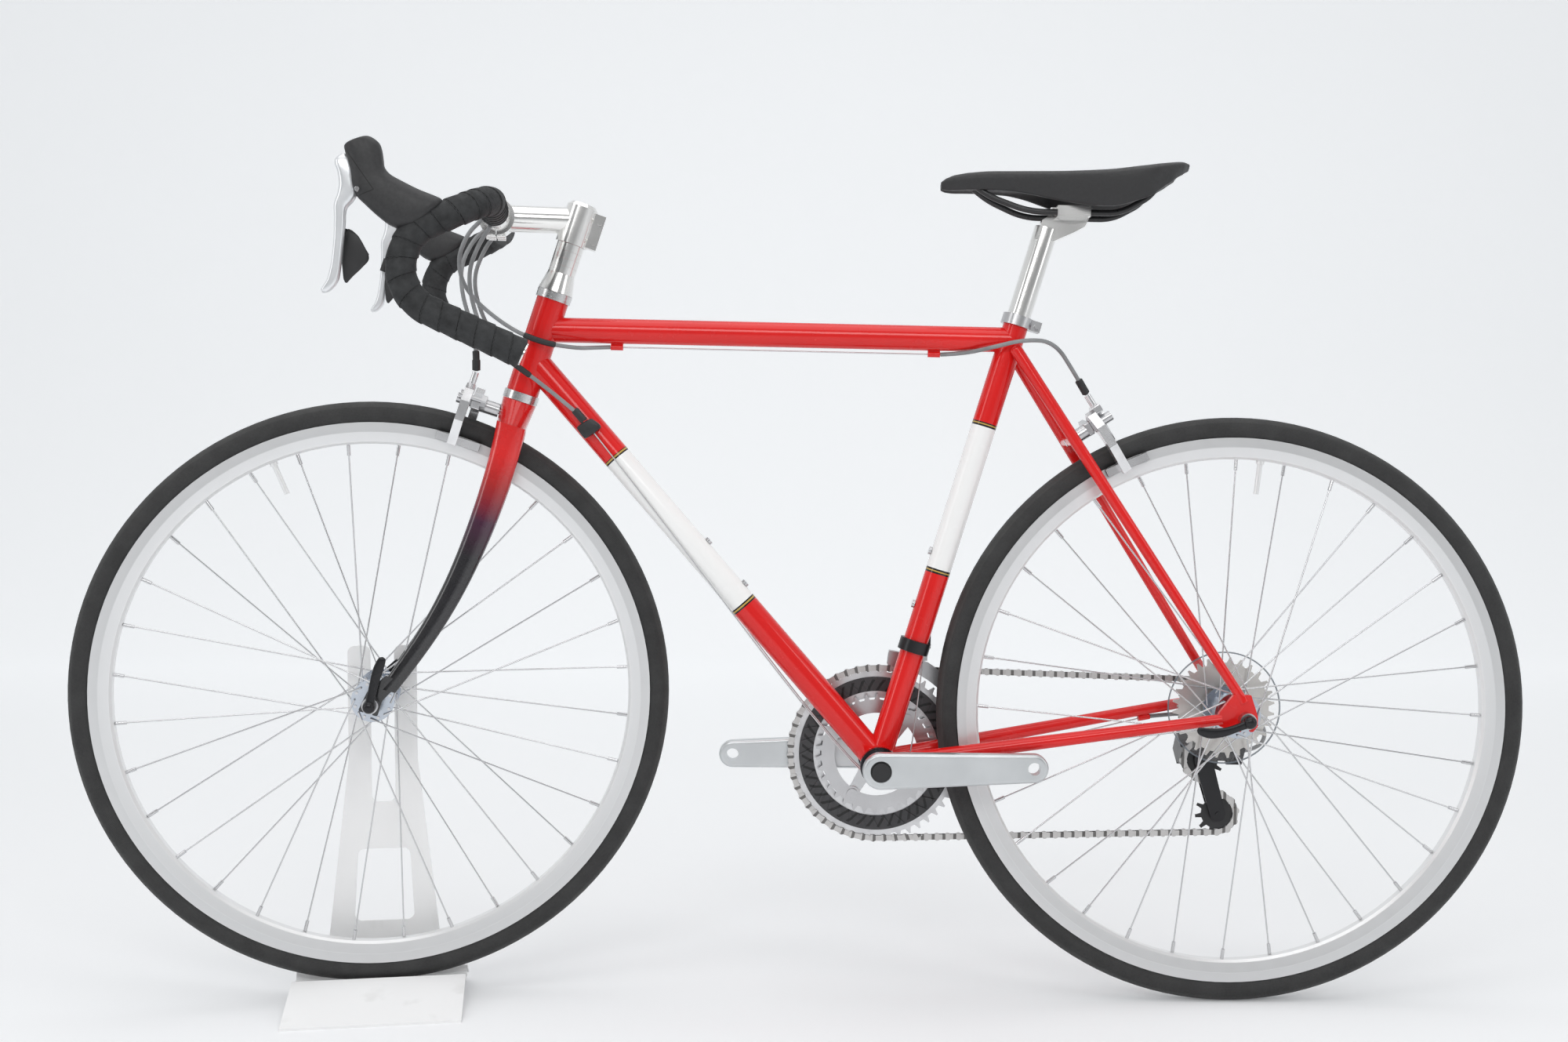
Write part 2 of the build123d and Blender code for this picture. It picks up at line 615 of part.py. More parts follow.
def down_tube():
    """Down tube with the bosses that carry the two cable adjusters."""
    a, b = DOWN_TUBE_ENDS
    tube = rod(a, b, DOWN_TUBE_RADIUS) - rod(a, b, DOWN_TUBE_RADIUS - TUBE_WALL)
    tube = tube - [head_core(), shell_core(), seat_core()]
    along = (b - a).normalized()
    for side in (-1, 1):
        at = a + along * ADJUSTER_ALONG + Vector(0, side * ADJUSTER_Y, 0)
        boss = rod(at - along * ADJUSTER_LENGTH / 2, at + along * ADJUSTER_LENGTH / 2, ADJUSTER_RADIUS)
        boss = boss - down_hollow()
        bore = rod(at - along * ADJUSTER_LENGTH, at + along * ADJUSTER_LENGTH, WIRE_RADIUS + REST_GAP)
        tube = tube + (boss - bore)
    return tube


def down_hollow():
    a, b = DOWN_TUBE_ENDS
    return rod(a, b, DOWN_TUBE_RADIUS - TUBE_WALL)


def seat_tube():
    """Seat tube, bored for the seatpost."""
    bore = POST_RADIUS + RUNNING_FIT
    tube = rod(BB, seat_point(SEAT_TUBE_LENGTH), SEAT_TUBE_RADIUS)
    return tube - [rod(BB, seat_point(SEAT_TUBE_LENGTH + 1), bore), shell_core()]


def bottom_bracket_shell():
    """Bottom bracket shell with the cable guide under it."""
    half = BB_SHELL_LENGTH / 2
    low = BB.Z - BB_SHELL_RADIUS
    guide = sided_box(BB.X - 5, BB.X + 5, -13, 13, low - GUIDE_PLATE_THICK, low + 2)
    shell = disc(BB_SHELL_RADIUS, -half, half, at=(BB.X, BB.Z)) + guide
    return shell - disc(BB_SHELL_RADIUS - 3, -half - 1, half + 1, at=(BB.X, BB.Z))


def bearing_cups():
    """Bottom bracket cups and the two headset cups, each with its bearing bore."""
    half = BB_SHELL_LENGTH / 2
    made = []
    for side in (-1, 1):
        y0, y1 = sorted((side * half, side * (half + BB_CUP_THICK)))
        made.append(disc(BB_CUP_RADIUS, y0, y1, inner=SPINDLE_RADIUS + RUNNING_FIT, at=(BB.X, BB.Z)))
    for low, height in ((-LOWER_RACE_HEIGHT + REST_GAP, LOWER_RACE_HEIGHT - REST_GAP),
                        (HEAD_TUBE_LENGTH, UPPER_CUP_HEIGHT)):
        cup = rod(head_point(low), head_point(low + height), CUP_RADIUS)
        made.append(cup - rod(head_point(low - 1), head_point(low + height + 1),
                              STEERER_RADIUS + RUNNING_FIT))
    return group(*made)


def stay_foot(side, up):
    """Where a stay meets its dropout plate: ahead of the axle or up from it."""
    return REAR_AXLE + Vector(-STAY_END_GAP * (1 - up) - 2, side * STAY_END_Y, STAY_END_GAP * up * 0.8)


def dropout(side):
    """Rear dropout plate with its axle slot; the right one has the mech hanger."""
    y0, y1 = sorted((side * REAR_DROPOUT_INNER, side * DROPOUT_OUT))
    x, z = REAR_AXLE.X, REAR_AXLE.Z
    low = HANGER_DOWN + 9 if side > 0 else 13
    back = HANGER_BACK + 8 if side > 0 else 13
    points = [(x - STAY_END_GAP - 6, z - 7), (x - STAY_END_GAP - 6, z + 7), (x - 14, z + STAY_END_GAP + 4),
              (x + 5, z + STAY_END_GAP + 4), (x + 13, z + 4), (x + back, z - low + 6),
              (x + back - 5, z - low), (x + back - 15, z - low), (x - 12, z - 13)]
    half = AXLE_RADIUS + RUNNING_FIT
    body = plate(points, y0, y1, corner=2.0)
    slot = fuse(disc(half, y0 - 1, y1 + 1, at=(x, z)), sided_box(x - half, x + half, y0 - 1, y1 + 1, z - 40, z))
    if side > 0:
        slot = disc(half, y0 - 1, y1 + 1, at=(x, z))
        hanger = (x + HANGER_BACK, z - HANGER_DOWN)
        slot = fuse(slot, disc(LINK_PIN_RADIUS + 3 + RUNNING_FIT, y0 - 1, y1 + 1, at=hanger))
    return body - slot


def chainstays():
    """Two tapered chainstays from the bottom bracket shell to the dropouts."""
    made = []
    for side in (-1, 1):
        start = BB + Vector(6, side * CHAINSTAY_BB_Y, 1)
        stay = taper(start, stay_foot(side, 0), CHAINSTAY_RADIUS, CHAINSTAY_END_RADIUS)
        stay = stay - [shell_core(), seat_core()]
        pieces = [stay, dropout(side)]
        if side > 0:
            pieces.append(chainstay_stop())
        made.append(fuse(*pieces))
    return group(*made)


def stop_ends():
    """Ends of the cable stop under the right chainstay."""
    a, b = BB + Vector(6, CHAINSTAY_BB_Y, 1), stay_foot(1, 0)
    along = (b - a).normalized()
    low = b - along * STAY_STOP_AHEAD - Vector(0, 0, CHAINSTAY_END_RADIUS + STOP_RADIUS)
    return low, low + along * STOP_LENGTH


def chainstay_stop():
    """Cable stop under the right chainstay, bored for the wire."""
    a, b = stop_ends()
    along = (b - a).normalized()
    web = sided_box(a.X + 3, b.X - 3, a.Y - 1, a.Y + 2.5, a.Z + 1, a.Z + 9)
    return fuse(rod(a, b, STOP_RADIUS), web) - rod(a - along, b + along, WIRE_RADIUS + REST_GAP)


def seatstay_line(side):
    """The upper and lower ends of a seatstay's axis."""
    top = seat_point(SEAT_TUBE_LENGTH - SEATSTAY_BELOW_SEAT_TOP) + Vector(8, side * SEATSTAY_TOP_Y, 0)
    return top, stay_foot(side, 1)


def bridge_centre():
    """The middle of the brake bridge."""
    top, foot = seatstay_line(1)
    middle = Vector(top.X, 0, top.Z) - Vector(foot.X, 0, foot.Z)
    return Vector(foot.X, 0, foot.Z) + middle.normalized() * (BRIDGE_FROM_AXLE - STAY_END_GAP * 0.8)


def seatstays():
    """Two tapered seatstays with rounded caps beside the seat tube, and the brake bridge."""
    made = []
    for side in (-1, 1):
        top, foot = seatstay_line(side)
        end = top + (top - foot).normalized() * SEATSTAY_CAP_ABOVE
        stay = taper(end, foot, SEATSTAY_RADIUS, SEATSTAY_END_RADIUS)
        made.append(fillet(stay.edges().filter_by(GeomType.CIRCLE).sort_by_distance(end)[0], SEATSTAY_CAP_ROUND))
    top, foot = seatstay_line(1)
    at = bridge_centre()
    share = (at.Z - foot.Z) / (top.Z - foot.Z)
    reach = foot.Y + (top.Y - foot.Y) * share
    bolt = BRAKE_BOLT_RADIUS + RUNNING_FIT
    normal = Vector(top.Z - foot.Z, 0, foot.X - top.X).normalized()
    body = fuse(*made, rod(at - Vector(0, reach, 0), at + Vector(0, reach, 0), BRIDGE_RADIUS))
    return body - [seat_core(), dropout(1), dropout(-1), rod(at - normal * 20, at + normal * 20, bolt)]


def frame_bolts():
    """Seat collar with its pinch bolt, and the bolts in the bottle bosses."""
    lower = SEAT_TUBE_LENGTH - COLLAR_HEIGHT
    inner = SEAT_TUBE_RADIUS + JOINT_GAP
    ears = sided_box(inner, inner + 13, -7, 7, lower, SEAT_TUBE_LENGTH)
    collar = fuse(rod((0, 0, lower), (0, 0, SEAT_TUBE_LENGTH), inner + COLLAR_THICK), ears)
    collar = collar - rod((0, 0, lower - 1), (0, 0, SEAT_TUBE_LENGTH + 1), inner)
    collar = collar - sided_box(0, inner + 20, -0.8, 0.8, lower - 1, SEAT_TUBE_LENGTH + 1)
    middle = (lower + SEAT_TUBE_LENGTH) / 2
    bolt = rod((inner + 8, -11, middle), (inner + 8, 11, middle), 3)
    made = [SEAT.location * fuse(collar, bolt)]
    front = -SEAT.x_dir
    for along in BOTTLE_BOLTS_SEAT:
        at = seat_point(along) + front * (SEAT_TUBE_RADIUS + JOINT_GAP)
        made.append(rod(at, at + front * BOLT_HEAD_THICK, BOLT_HEAD_RADIUS))
    a, b = DOWN_TUBE_ENDS
    along_tube = (b - a).normalized()
    above = Vector(-along_tube.Z, 0, along_tube.X) * -1
    for along in BOTTLE_BOLTS_DOWN:
        at = a + along_tube * along + above * (DOWN_TUBE_RADIUS + JOINT_GAP)
        made.append(rod(at, at + above * BOLT_HEAD_THICK, BOLT_HEAD_RADIUS))
    return group(*made)


# Fork and bars, drawn in the fork's own frame: z up the steering axis from the head tube's
# lower end, x to the rear, y to the drive side

BLADE_TOP = -LOWER_RACE_HEIGHT - CROWN_DEPTH + 4
BLADE_SECTIONS = [              # x, y, z, half depth, half width
    (0.0, 27.0, BLADE_TOP, 16.9, 9.9),
    (4.0, 30.0, -91.0, 16.0, 9.5),
    (3.0, 34.0, -165.0, 14.5, 9.0),
    (-5.0, 41.0, -242.0, 12.5, 8.0),
    (-24.0, 49.0, -321.0, 10.5, 6.0),
    (-37.0, 52.6, -362.0, 9.0, 4.2)]
CONE_BOTTOM = HEAD_TUBE_LENGTH + UPPER_CUP_HEIGHT + REST_GAP
SPACER_BOTTOM = CONE_BOTTOM + CONE_HEIGHT
STEM_BOTTOM = SPACER_BOTTOM + SPACER_COUNT * SPACER_HEIGHT
STEM_TOP = STEM_BOTTOM + STEM_CLAMP_HEIGHT
STEM_AXIS = STEM_BOTTOM + 28.5
STEM_DIR = Vector(-HEAD_DIR.Z, 0, -HEAD_DIR.X)
BAR_CENTRE = Vector(0, 0, STEM_AXIS) + STEM_DIR * STEM_LENGTH
BAR_PLANE = Plane(BAR_CENTRE, x_dir=(0, 1, 0), z_dir=STEM_DIR)
SPLIT_BOLTS = [(y, v) for y in (-13.0, 13.0) for v in (-19.5, 19.5)]


def fork():
    """Crown, two curved blades, two dropouts and the steerer, in one piece."""
    crown_low = -LOWER_RACE_HEIGHT - CROWN_DEPTH
    crown = loft([Pos(0, 0, -LOWER_RACE_HEIGHT) * Circle(CROWN_TOP_RADIUS),
                  Pos(0, 0, crown_low) * Ellipse(CROWN_DEPTH_HALF, CROWN_HALF_WIDTH)])
    steerer = rod((0, 0, -LOWER_RACE_HEIGHT - 1), (0, 0, STEM_TOP), STEERER_RADIUS)
    pieces = [crown, steerer]
    x, z = -RAKE, -FORK_LENGTH
    for side in (-1, 1):
        pieces.append(loft([Pos(sx, side * sy, sz) * Ellipse(depth, width)
                            for sx, sy, sz, depth, width in BLADE_SECTIONS]))
        y0, y1 = sorted((side * FRONT_DROPOUT_INNER, side * (FRONT_DROPOUT_INNER + DROPOUT_THICK)))
        tip = plate([(x - 11, z - 11), (x + 11, z - 11), (x + 11, z + 8), (x + 24, z + 34),
                     (x + 6, z + 36), (x - 8, z + 12)], y0, y1, corner=2.0)
        half = AXLE_RADIUS + RUNNING_FIT
        slot = fuse(disc(half, y0 - 1, y1 + 1, at=(x, z)),
                    sided_box(x - half, x + half, y0 - 1, y1 + 1, z - 20, z))
        pieces.append(tip - slot)
    body = fuse(*pieces)
    bolt = rod((-CROWN_HALF_WIDTH, 0, -FRONT_BRAKE_DOWN), (0, 0, -FRONT_BRAKE_DOWN),
               BRAKE_BOLT_RADIUS + RUNNING_FIT)
    return body - bolt


def headset_spacers():
    """Conical cover, stack of spacers and the cap with its bolt above the stem."""
    bore = STEERER_RADIUS + RUNNING_FIT
    made = [taper((0, 0, CONE_BOTTOM), (0, 0, SPACER_BOTTOM - TAPE_FIT), CUP_RADIUS, SPACER_RADIUS)]
    for i in range(SPACER_COUNT):
        low = SPACER_BOTTOM + i * SPACER_HEIGHT
        made.append(rod((0, 0, low), (0, 0, low + SPACER_HEIGHT - TAPE_FIT), SPACER_RADIUS))
    made = [ring - rod((0, 0, 0), (0, 0, STEM_TOP), bore) for ring in made]
    low = STEM_TOP + TAPE_FIT
    cap = fuse(taper((0, 0, low), (0, 0, low + CAP_HEIGHT), STEERER_RADIUS + 3, STEERER_RADIUS),
               rod((0, 0, low), (0, 0, low + CAP_HEIGHT + 1.5), BOLT_HEAD_RADIUS))
    return group(*made, cap)


def bar_ring():
    """The stem's round clamp about the bar, with four bolt bosses, before it is split."""
    half = BAR_CLAMP_WIDTH / 2
    ring = rod(BAR_CENTRE - Vector(0, half, 0), BAR_CENTRE + Vector(0, half, 0),
               BAR_CLAMP_RADIUS + BAR_CLAMP_WALL)
    bosses = [BAR_PLANE.location * rod((y, v, -10), (y, v, 9), SPLIT_BOLT_RADIUS) for y, v in SPLIT_BOLTS]
    return fuse(ring, *bosses)


def bar_bore():
    return rod(BAR_CENTRE - Vector(0, BAR_CLAMP_WIDTH, 0), BAR_CENTRE + Vector(0, BAR_CLAMP_WIDTH, 0),
               BAR_CLAMP_RADIUS + RUNNING_FIT)


def stem():
    """Stem: steerer clamp with pinch bolts behind it, round extension, rear half of the bar clamp."""
    outer = STEERER_RADIUS + STEM_CLAMP_WALL
    low = STEM_BOTTOM + TAPE_FIT
    clamp = rod((0, 0, low), (0, 0, STEM_TOP), outer)
    ears = sided_box(outer - 4, outer + STEM_PINCH_LENGTH, -9, 9, low + 2, STEM_TOP - 2)
    arm = rod((0, 0, STEM_AXIS), BAR_CENTRE, STEM_RADIUS)
    body = fuse(clamp, arm, bar_ring(), ears)
    front = BAR_PLANE.location * Pos(0, 0, 50 - FACEPLATE_SPLIT / 2) * Box(100, 100, 100)
    slit = sided_box(0, outer + 20, -0.8, 0.8, low - 1, STEM_TOP + 1)
    body = body - [front, bar_bore(), rod((0, 0, 0), (0, 0, STEM_TOP + 50), STEERER_RADIUS + RUNNING_FIT),
                   slit]
    x = outer + STEM_PINCH_LENGTH / 2
    bolts = [rod((x, -12, z), (x, 12, z), 3) for z in (low + 10, STEM_TOP - 10)]
    return fuse(body, *bolts)


def stem_faceplate():
    """Front half of the bar clamp with its four bolt heads."""
    front = BAR_PLANE.location * Pos(0, 0, 50 + FACEPLATE_SPLIT / 2) * Box(100, 100, 100)
    heads = [BAR_PLANE.location * rod((y, v, 8), (y, v, 12), SPLIT_BOLT_RADIUS - 1) for y, v in SPLIT_BOLTS]
    return fuse((bar_ring() & front) - bar_bore(), *heads)


def bar_path(start):
    """The right half of the bar: out along y, forward down the ramp, round and back along the drop."""
    c = BAR_CENTRE
    w = BAR_HALF_WIDTH
    x1, z1 = c.X - BAR_RAMP_FORWARD, c.Z - BAR_RAMP_DROP
    z2 = z1 - BAR_FRONT_DROP
    return FilletPolyline((c.X, start, c.Z), (c.X, w, c.Z), (x1, w, z1), (x1, w, z2),
                          (x1 + BAR_DROP_LENGTH, w, z2 - BAR_END_DROP), radius=BAR_BENDS)


def along_bar(radius, start):
    """A round bar of the given radius along the right half of the handlebar."""
    path = bar_path(start)
    return sweep(Plane(path @ 0, z_dir=path % 0) * Circle(radius), path)


def both_sides(right):
    """A right-hand shape and its mirror on the left."""
    return group(right, mirror(right, Plane.XZ))


def handlebar():
    """Drop bar with a thicker middle that tapers into the round ends."""
    c = BAR_CENTRE
    wide = BAR_CLAMP_WIDTH / 2 + 6
    thin = TAPE_START - 8
    right = along_bar(BAR_RADIUS, 0)
    return fuse(right, mirror(right, Plane.XZ),
                rod((c.X, -wide, c.Z), (c.X, wide, c.Z), BAR_CLAMP_RADIUS),
                taper((c.X, wide, c.Z), (c.X, thin, c.Z), BAR_CLAMP_RADIUS, BAR_RADIUS),
                taper((c.X, -wide, c.Z), (c.X, -thin, c.Z), BAR_CLAMP_RADIUS, BAR_RADIUS))


def bar_tape():
    """Tape wrapped on both halves of the bar, from beside the stem to the ends."""
    return both_sides(along_bar(TAPE_RADIUS, TAPE_START) - along_bar(BAR_RADIUS + TAPE_FIT, 0))


# Hoods and levers, in the fork's frame on the drive side; (x, z) outlines beside the bar


def lever_hood():
    """Rubber hood over its bracket, cut to sit on the bar, with the tongue and pin for the lever."""
    w = BAR_HALF_WIDTH
    body = plate(HOOD_OUTLINE, w - HOOD_HALF_WIDTH, w + HOOD_HALF_WIDTH)
    rims = body.faces().filter_by(Axis.Y).edges()
    body = chamfer(rims, HOOD_BEVEL) - along_bar(TAPE_RADIUS + TAPE_FIT, 0)
    x, z = LEVER_PIVOT
    tongue = fuse(plate([(x, z + 5), (-196.5, z + 8), (-196.5, z - 8), (x, z - 5)],
                        w - TONGUE_HALF_WIDTH, w + TONGUE_HALF_WIDTH),
                  disc(LEVER_PIVOT_RADIUS - 1, w - TONGUE_HALF_WIDTH, w + TONGUE_HALF_WIDTH, at=LEVER_PIVOT),
                  disc(LEVER_PIN_RADIUS, w - LEVER_HALF_WIDTH, w + LEVER_HALF_WIDTH, at=LEVER_PIVOT))
    return fuse(body, tongue)


def lever_hoods():
    return both_sides(lever_hood())


def brake_lever():
    """Brake lever blade, forked at its pivot, with the two lugs that carry the shift paddle."""
    w = BAR_HALF_WIDTH
    body = plate(LEVER_OUTLINE, w - LEVER_HALF_WIDTH, w + LEVER_HALF_WIDTH)
    body = chamfer(body.faces().filter_by(Axis.Y).edges(), 2.0)
    boss = disc(LEVER_PIVOT_RADIUS, w - LEVER_HALF_WIDTH, w + LEVER_HALF_WIDTH, at=LEVER_PIVOT)
    gap = TONGUE_HALF_WIDTH + REST_GAP
    x, z = LEVER_PIVOT
    slot = fuse(disc(LEVER_PIVOT_RADIUS + 2, w - gap, w + gap, at=LEVER_PIVOT),
                sided_box(x, x + 20, w - gap, w + gap, z - 20, z + 12))
    bore = disc(LEVER_PIN_RADIUS + RUNNING_FIT, w - 20, w + 20, at=LEVER_PIVOT)
    px, pz = PADDLE_PIN
    py = w - PADDLE_OFF
    reach = PADDLE_BARREL_HALF + REST_GAP
    lugs = []
    for low in (pz - reach - 3, pz + reach):
        lugs.append(sided_box(px - 3, px + 3, py - 3, w - 4, low, low + 3))
    pin = rod((px, py, pz - reach - 2), (px, py, pz + reach + 2), PADDLE_PIN_RADIUS)
    return fuse(fuse(body, boss) - [slot, bore], *lugs, pin)


def shift_paddle():
    """Shift paddle behind the brake lever, on its hinge barrel."""
    px, pz = PADDLE_PIN
    py = BAR_HALF_WIDTH - PADDLE_OFF
    half = PADDLE_THICK / 2
    blade = plate(PADDLE_OUTLINE, py - half, py + half, corner=2.0)
    arm = sided_box(px, px + 8, py - half, py + half, pz - 6, pz + 6)
    barrel = rod((px, py, pz - PADDLE_BARREL_HALF), (px, py, pz + PADDLE_BARREL_HALF), PADDLE_BARREL_RADIUS)
    bore = rod((px, py, pz - 20), (px, py, pz + 20), PADDLE_PIN_RADIUS + RUNNING_FIT)
    return fuse(blade, arm, barrel) - bore


# Brakes, drawn at their centre bolt: x away from the mounting face, z away from the axle

BRAKE_X1 = BRAKE_STANDOFF + ARM_THICK
BRAKE_X2 = BRAKE_X1 + ARM_GAP + ARM_THICK
PAD_INNER = RIM_HALF_WIDTH + PAD_GAP
PAD_OUTER = PAD_INNER + PAD_THICK


def brake_pad(reach, lean, side):
    """A brake shoe beside the rim, turned by its lean to lie along the rim's track."""
    pad = Box(PAD_LENGTH, PAD_THICK, PAD_HEIGHT)
    return Pos(BRAKE_X1 + ARM_GAP / 2, side * (PAD_INNER + PAD_OUTER) / 2, -reach) * Rot(0, lean, 0) * pad


def arm_plate(points, x0, x1, corner):
    """A flat brake arm between x0 and x1 with the outline (y, z)."""
    outline = fillet(Polygon(*points, align=None).vertices(), corner)
    return extrude(Plane.YZ.offset(x0) * outline, x1 - x0, dir=(1, 0, 0))


def centre_arm(reach, lean):
    """Brake arm that turns on the centre bolt and reaches down on the -y side, with its pad."""
    y = -PAD_OUTER - TAPE_FIT
    w = ARM_WIDTH
    points = [(8, -7), (8, 7), (-4, 12), (-14, 18), (-22, 14), (y - w - 3, -2), (y - w - 5, -reach * 0.5),
              (y - w + 2, -reach - 6), (y, -reach - 6), (y, -reach + 8), (y - 3, -reach * 0.5),
              (y - 1, -10), (-10, -5)]
    body = arm_plate(points, BRAKE_STANDOFF, BRAKE_X1, 1.5)
    bore = rod((0, 0, 0), (BRAKE_X2, 0, 0), BRAKE_BOLT_RADIUS + RUNNING_FIT)
    return group(body - bore, brake_pad(reach, lean, -1))


def side_arm(reach, lean):
    """Brake arm that turns on the side pivot and reaches down on the +y side, with its pad."""
    y = PAD_OUTER + TAPE_FIT
    w = ARM_WIDTH
    points = [(-10, 10), (-10, 19), (6, 20), (20, 14), (y + w + 3, 0), (y + w + 5, -reach * 0.5),
              (y + w - 2, -reach - 6), (y, -reach - 6), (y, -reach + 8), (y + 3, -reach * 0.5),
              (y, -8), (10, -3), (8, 9)]
    body = arm_plate(points, BRAKE_X1 + ARM_GAP, BRAKE_X2, 1.2)
    bore = rod((0, BRAKE_SIDE_PIVOT, SIDE_PIVOT_UP), (2 * BRAKE_X2, BRAKE_SIDE_PIVOT, SIDE_PIVOT_UP),
               BRAKE_BOLT_RADIUS - 1 + RUNNING_FIT)
    return group(body - bore, brake_pad(reach, lean, 1))


def brake_bolts():
    """Centre bolt with its sleeve and nut, and the side pivot on its bracket behind the arms."""
    centre = rod((-BRAKE_MOUNT_DEPTH, 0, 0), (BRAKE_X2 + 6, 0, 0), BRAKE_BOLT_RADIUS)
    sleeve = rod((TAPE_FIT, 0, 0), (BRAKE_STANDOFF - REST_GAP, 0, 0), BRAKE_BOLT_RADIUS + 4)
    head = rod((BRAKE_X1 + REST_GAP, 0, 0), (BRAKE_X2 + 6, 0, 0), BRAKE_BOLT_RADIUS + 2)
    y, z = BRAKE_SIDE_PIVOT, SIDE_PIVOT_UP
    back = BRAKE_STANDOFF - REST_GAP
    bracket = arm_plate([(-8, -8), (-8, 8), (y, z + 7), (y + 6, z), (y, z - 7)], back - 6, back, 2.0)
    pivot = rod((back - 3, y, z), (BRAKE_X2 + 3, y, z), BRAKE_BOLT_RADIUS - 1)
    cap = rod((BRAKE_X2 + REST_GAP, y, z), (BRAKE_X2 + 3, y, z), BRAKE_BOLT_RADIUS + 1.5)
    return fuse(centre, sleeve, head, bracket, pivot, cap)


# Drive train, about the bottom bracket and the rear axle in the chain's plane

def pitch_radius(teeth):
    """Radius of the circle through a sprocket's roller centres."""
    return CHAIN_PITCH / 2 / sin(pi / teeth)


def sprocket(teeth, thick, inner, phase):
    """Toothed ring centred on the origin; a gap between teeth lies at the phase angle."""
    radius = pitch_radius(teeth)
    half = CHAIN_PITCH / 2
    gap = [(-half + TOOTH_TIP_HALF, TOOTH_TIP), (-GAP_HALF, 0), (-GAP_FLOOR_HALF, -GAP_DEPTH),
           (GAP_FLOOR_HALF, -GAP_DEPTH), (GAP_HALF, 0), (half - TOOTH_TIP_HALF, TOOTH_TIP)]
    points = []
    for i in range(teeth):
        turn = radians(phase + 360 * i / teeth)
        for across, up in gap:
            r = radius + up
            points.append((r * cos(turn) - across * sin(turn), r * sin(turn) + across * cos(turn)))
    body = extrude(Plane.XZ.offset(thick / 2) * Polygon(*points, align=None), thick, dir=(0, 1, 0))
    return body - disc(inner, -thick, thick)


GUIDE = REAR_AXLE + Vector(GUIDE_BACK, CHAIN_Y, -GUIDE_DOWN)


def tangent(c1, r1, turn1, c2, r2, turn2):
    """Ends of the straight run that leaves wheel 1 and meets wheel 2; turn is +1 for clockwise."""
    dx, dz = c2[0] - c1[0], c2[1] - c1[1]
    gap = hypot(dx, dz)
    heading = atan2(dz, dx) + asin((turn1 * r1 - turn2 * r2) / gap) * -1
    normal = (-sin(heading), cos(heading))
    first = (c1[0] + turn1 * r1 * normal[0], c1[1] + turn1 * r1 * normal[1])
    last = (c2[0] + turn2 * r2 * normal[0], c2[1] + turn2 * r2 * normal[1])
    return first, last


def chain_loop(cage_angle):
    """Wheels of the chain's loop and the straight runs between them, for one cage angle."""
    a = radians(cage_angle)
    ten = (GUIDE.X + CAGE_LENGTH * sin(a), GUIDE.Z - CAGE_LENGTH * cos(a))
    wheels = [((BB.X, BB.Z), BIG_TEETH, 1), ((REAR_AXLE.X, REAR_AXLE.Z), DRIVE_COG, 1),
              ((GUIDE.X, GUIDE.Z), PULLEY_TEETH, -1), (ten, PULLEY_TEETH, 1)]
    runs = []
    for (c1, t1, s1), (c2, t2, s2) in zip(wheels, wheels[1:] + wheels[:1]):
        runs.append(tangent(c1, pitch_radius(t1), s1, c2, pitch_radius(t2), s2))
    return wheels, runs


def chain_spans(cage_angle):
    """Straight runs and arcs of the loop in order, each with its length in links."""
    wheels, runs = chain_loop(cage_angle)
    spans = []
    for i, (first, last) in enumerate(runs):
        spans.append(("run", first, last, hypot(last[0] - first[0], last[1] - first[1]) / CHAIN_PITCH))
        centre, teeth, turn = wheels[(i + 1) % len(wheels)]
        leave = runs[(i + 1) % len(runs)][0]
        a0 = atan2(last[1] - centre[1], last[0] - centre[0])
        a1 = atan2(leave[1] - centre[1], leave[0] - centre[0])
        sweep_angle = (turn * (a0 - a1)) % (2 * pi)
        spans.append(("arc", centre, (a0, turn, teeth), sweep_angle * teeth / (2 * pi)))
    return spans


def loop_length(cage_angle):
    return sum(span[3] for span in chain_spans(cage_angle))


def closing_cage_angle():
    """Cage angle near CAGE_ANGLE at which an even number of links closes the loop."""
    links = 2 * round(loop_length(CAGE_ANGLE) / 2)
    low, high = CAGE_ANGLE - 30, CAGE_ANGLE + 30
    rising = loop_length(high) > loop_length(low)
    for _ in range(60):
        middle = (low + high) / 2
        if (loop_length(middle) < links) == rising:
            low = middle
        else:
            high = middle
    return middle, links


CAGE_SET, CHAIN_LINKS = closing_cage_angle()
TENSION = GUIDE + Vector(CAGE_LENGTH * sin(radians(CAGE_SET)), 0, -CAGE_LENGTH * cos(radians(CAGE_SET)))


def pin_places():
    """Centres (x, z) of the chain's pins, one pitch apart along the loop."""
    spans = chain_spans(CAGE_SET)
    places = []
    done = 0.0
    for kind, a, b, links in spans:
        while len(places) < CHAIN_LINKS and len(places) < done + links:
            step = len(places) - done
            if kind == "run":
                share = step / links
                places.append((a[0] + (b[0] - a[0]) * share, a[1] + (b[1] - a[1]) * share))
            else:
                a0, turn, teeth = b
                at = a0 - turn * step * 2 * pi / teeth
                r = pitch_radius(teeth)
                places.append((a[0] + r * cos(at), a[1] + r * sin(at)))
        done += links
    return places


PINS = pin_places()


def roller_phase(centre, teeth):
    """Angle in degrees at which a roller sits on the sprocket at this centre."""
    radius = pitch_radius(teeth)
    x, z = min(PINS, key=lambda p: abs(hypot(p[0] - centre[0], p[1] - centre[1]) - radius))
    return degrees(atan2(z - centre[1], x - centre[0]))


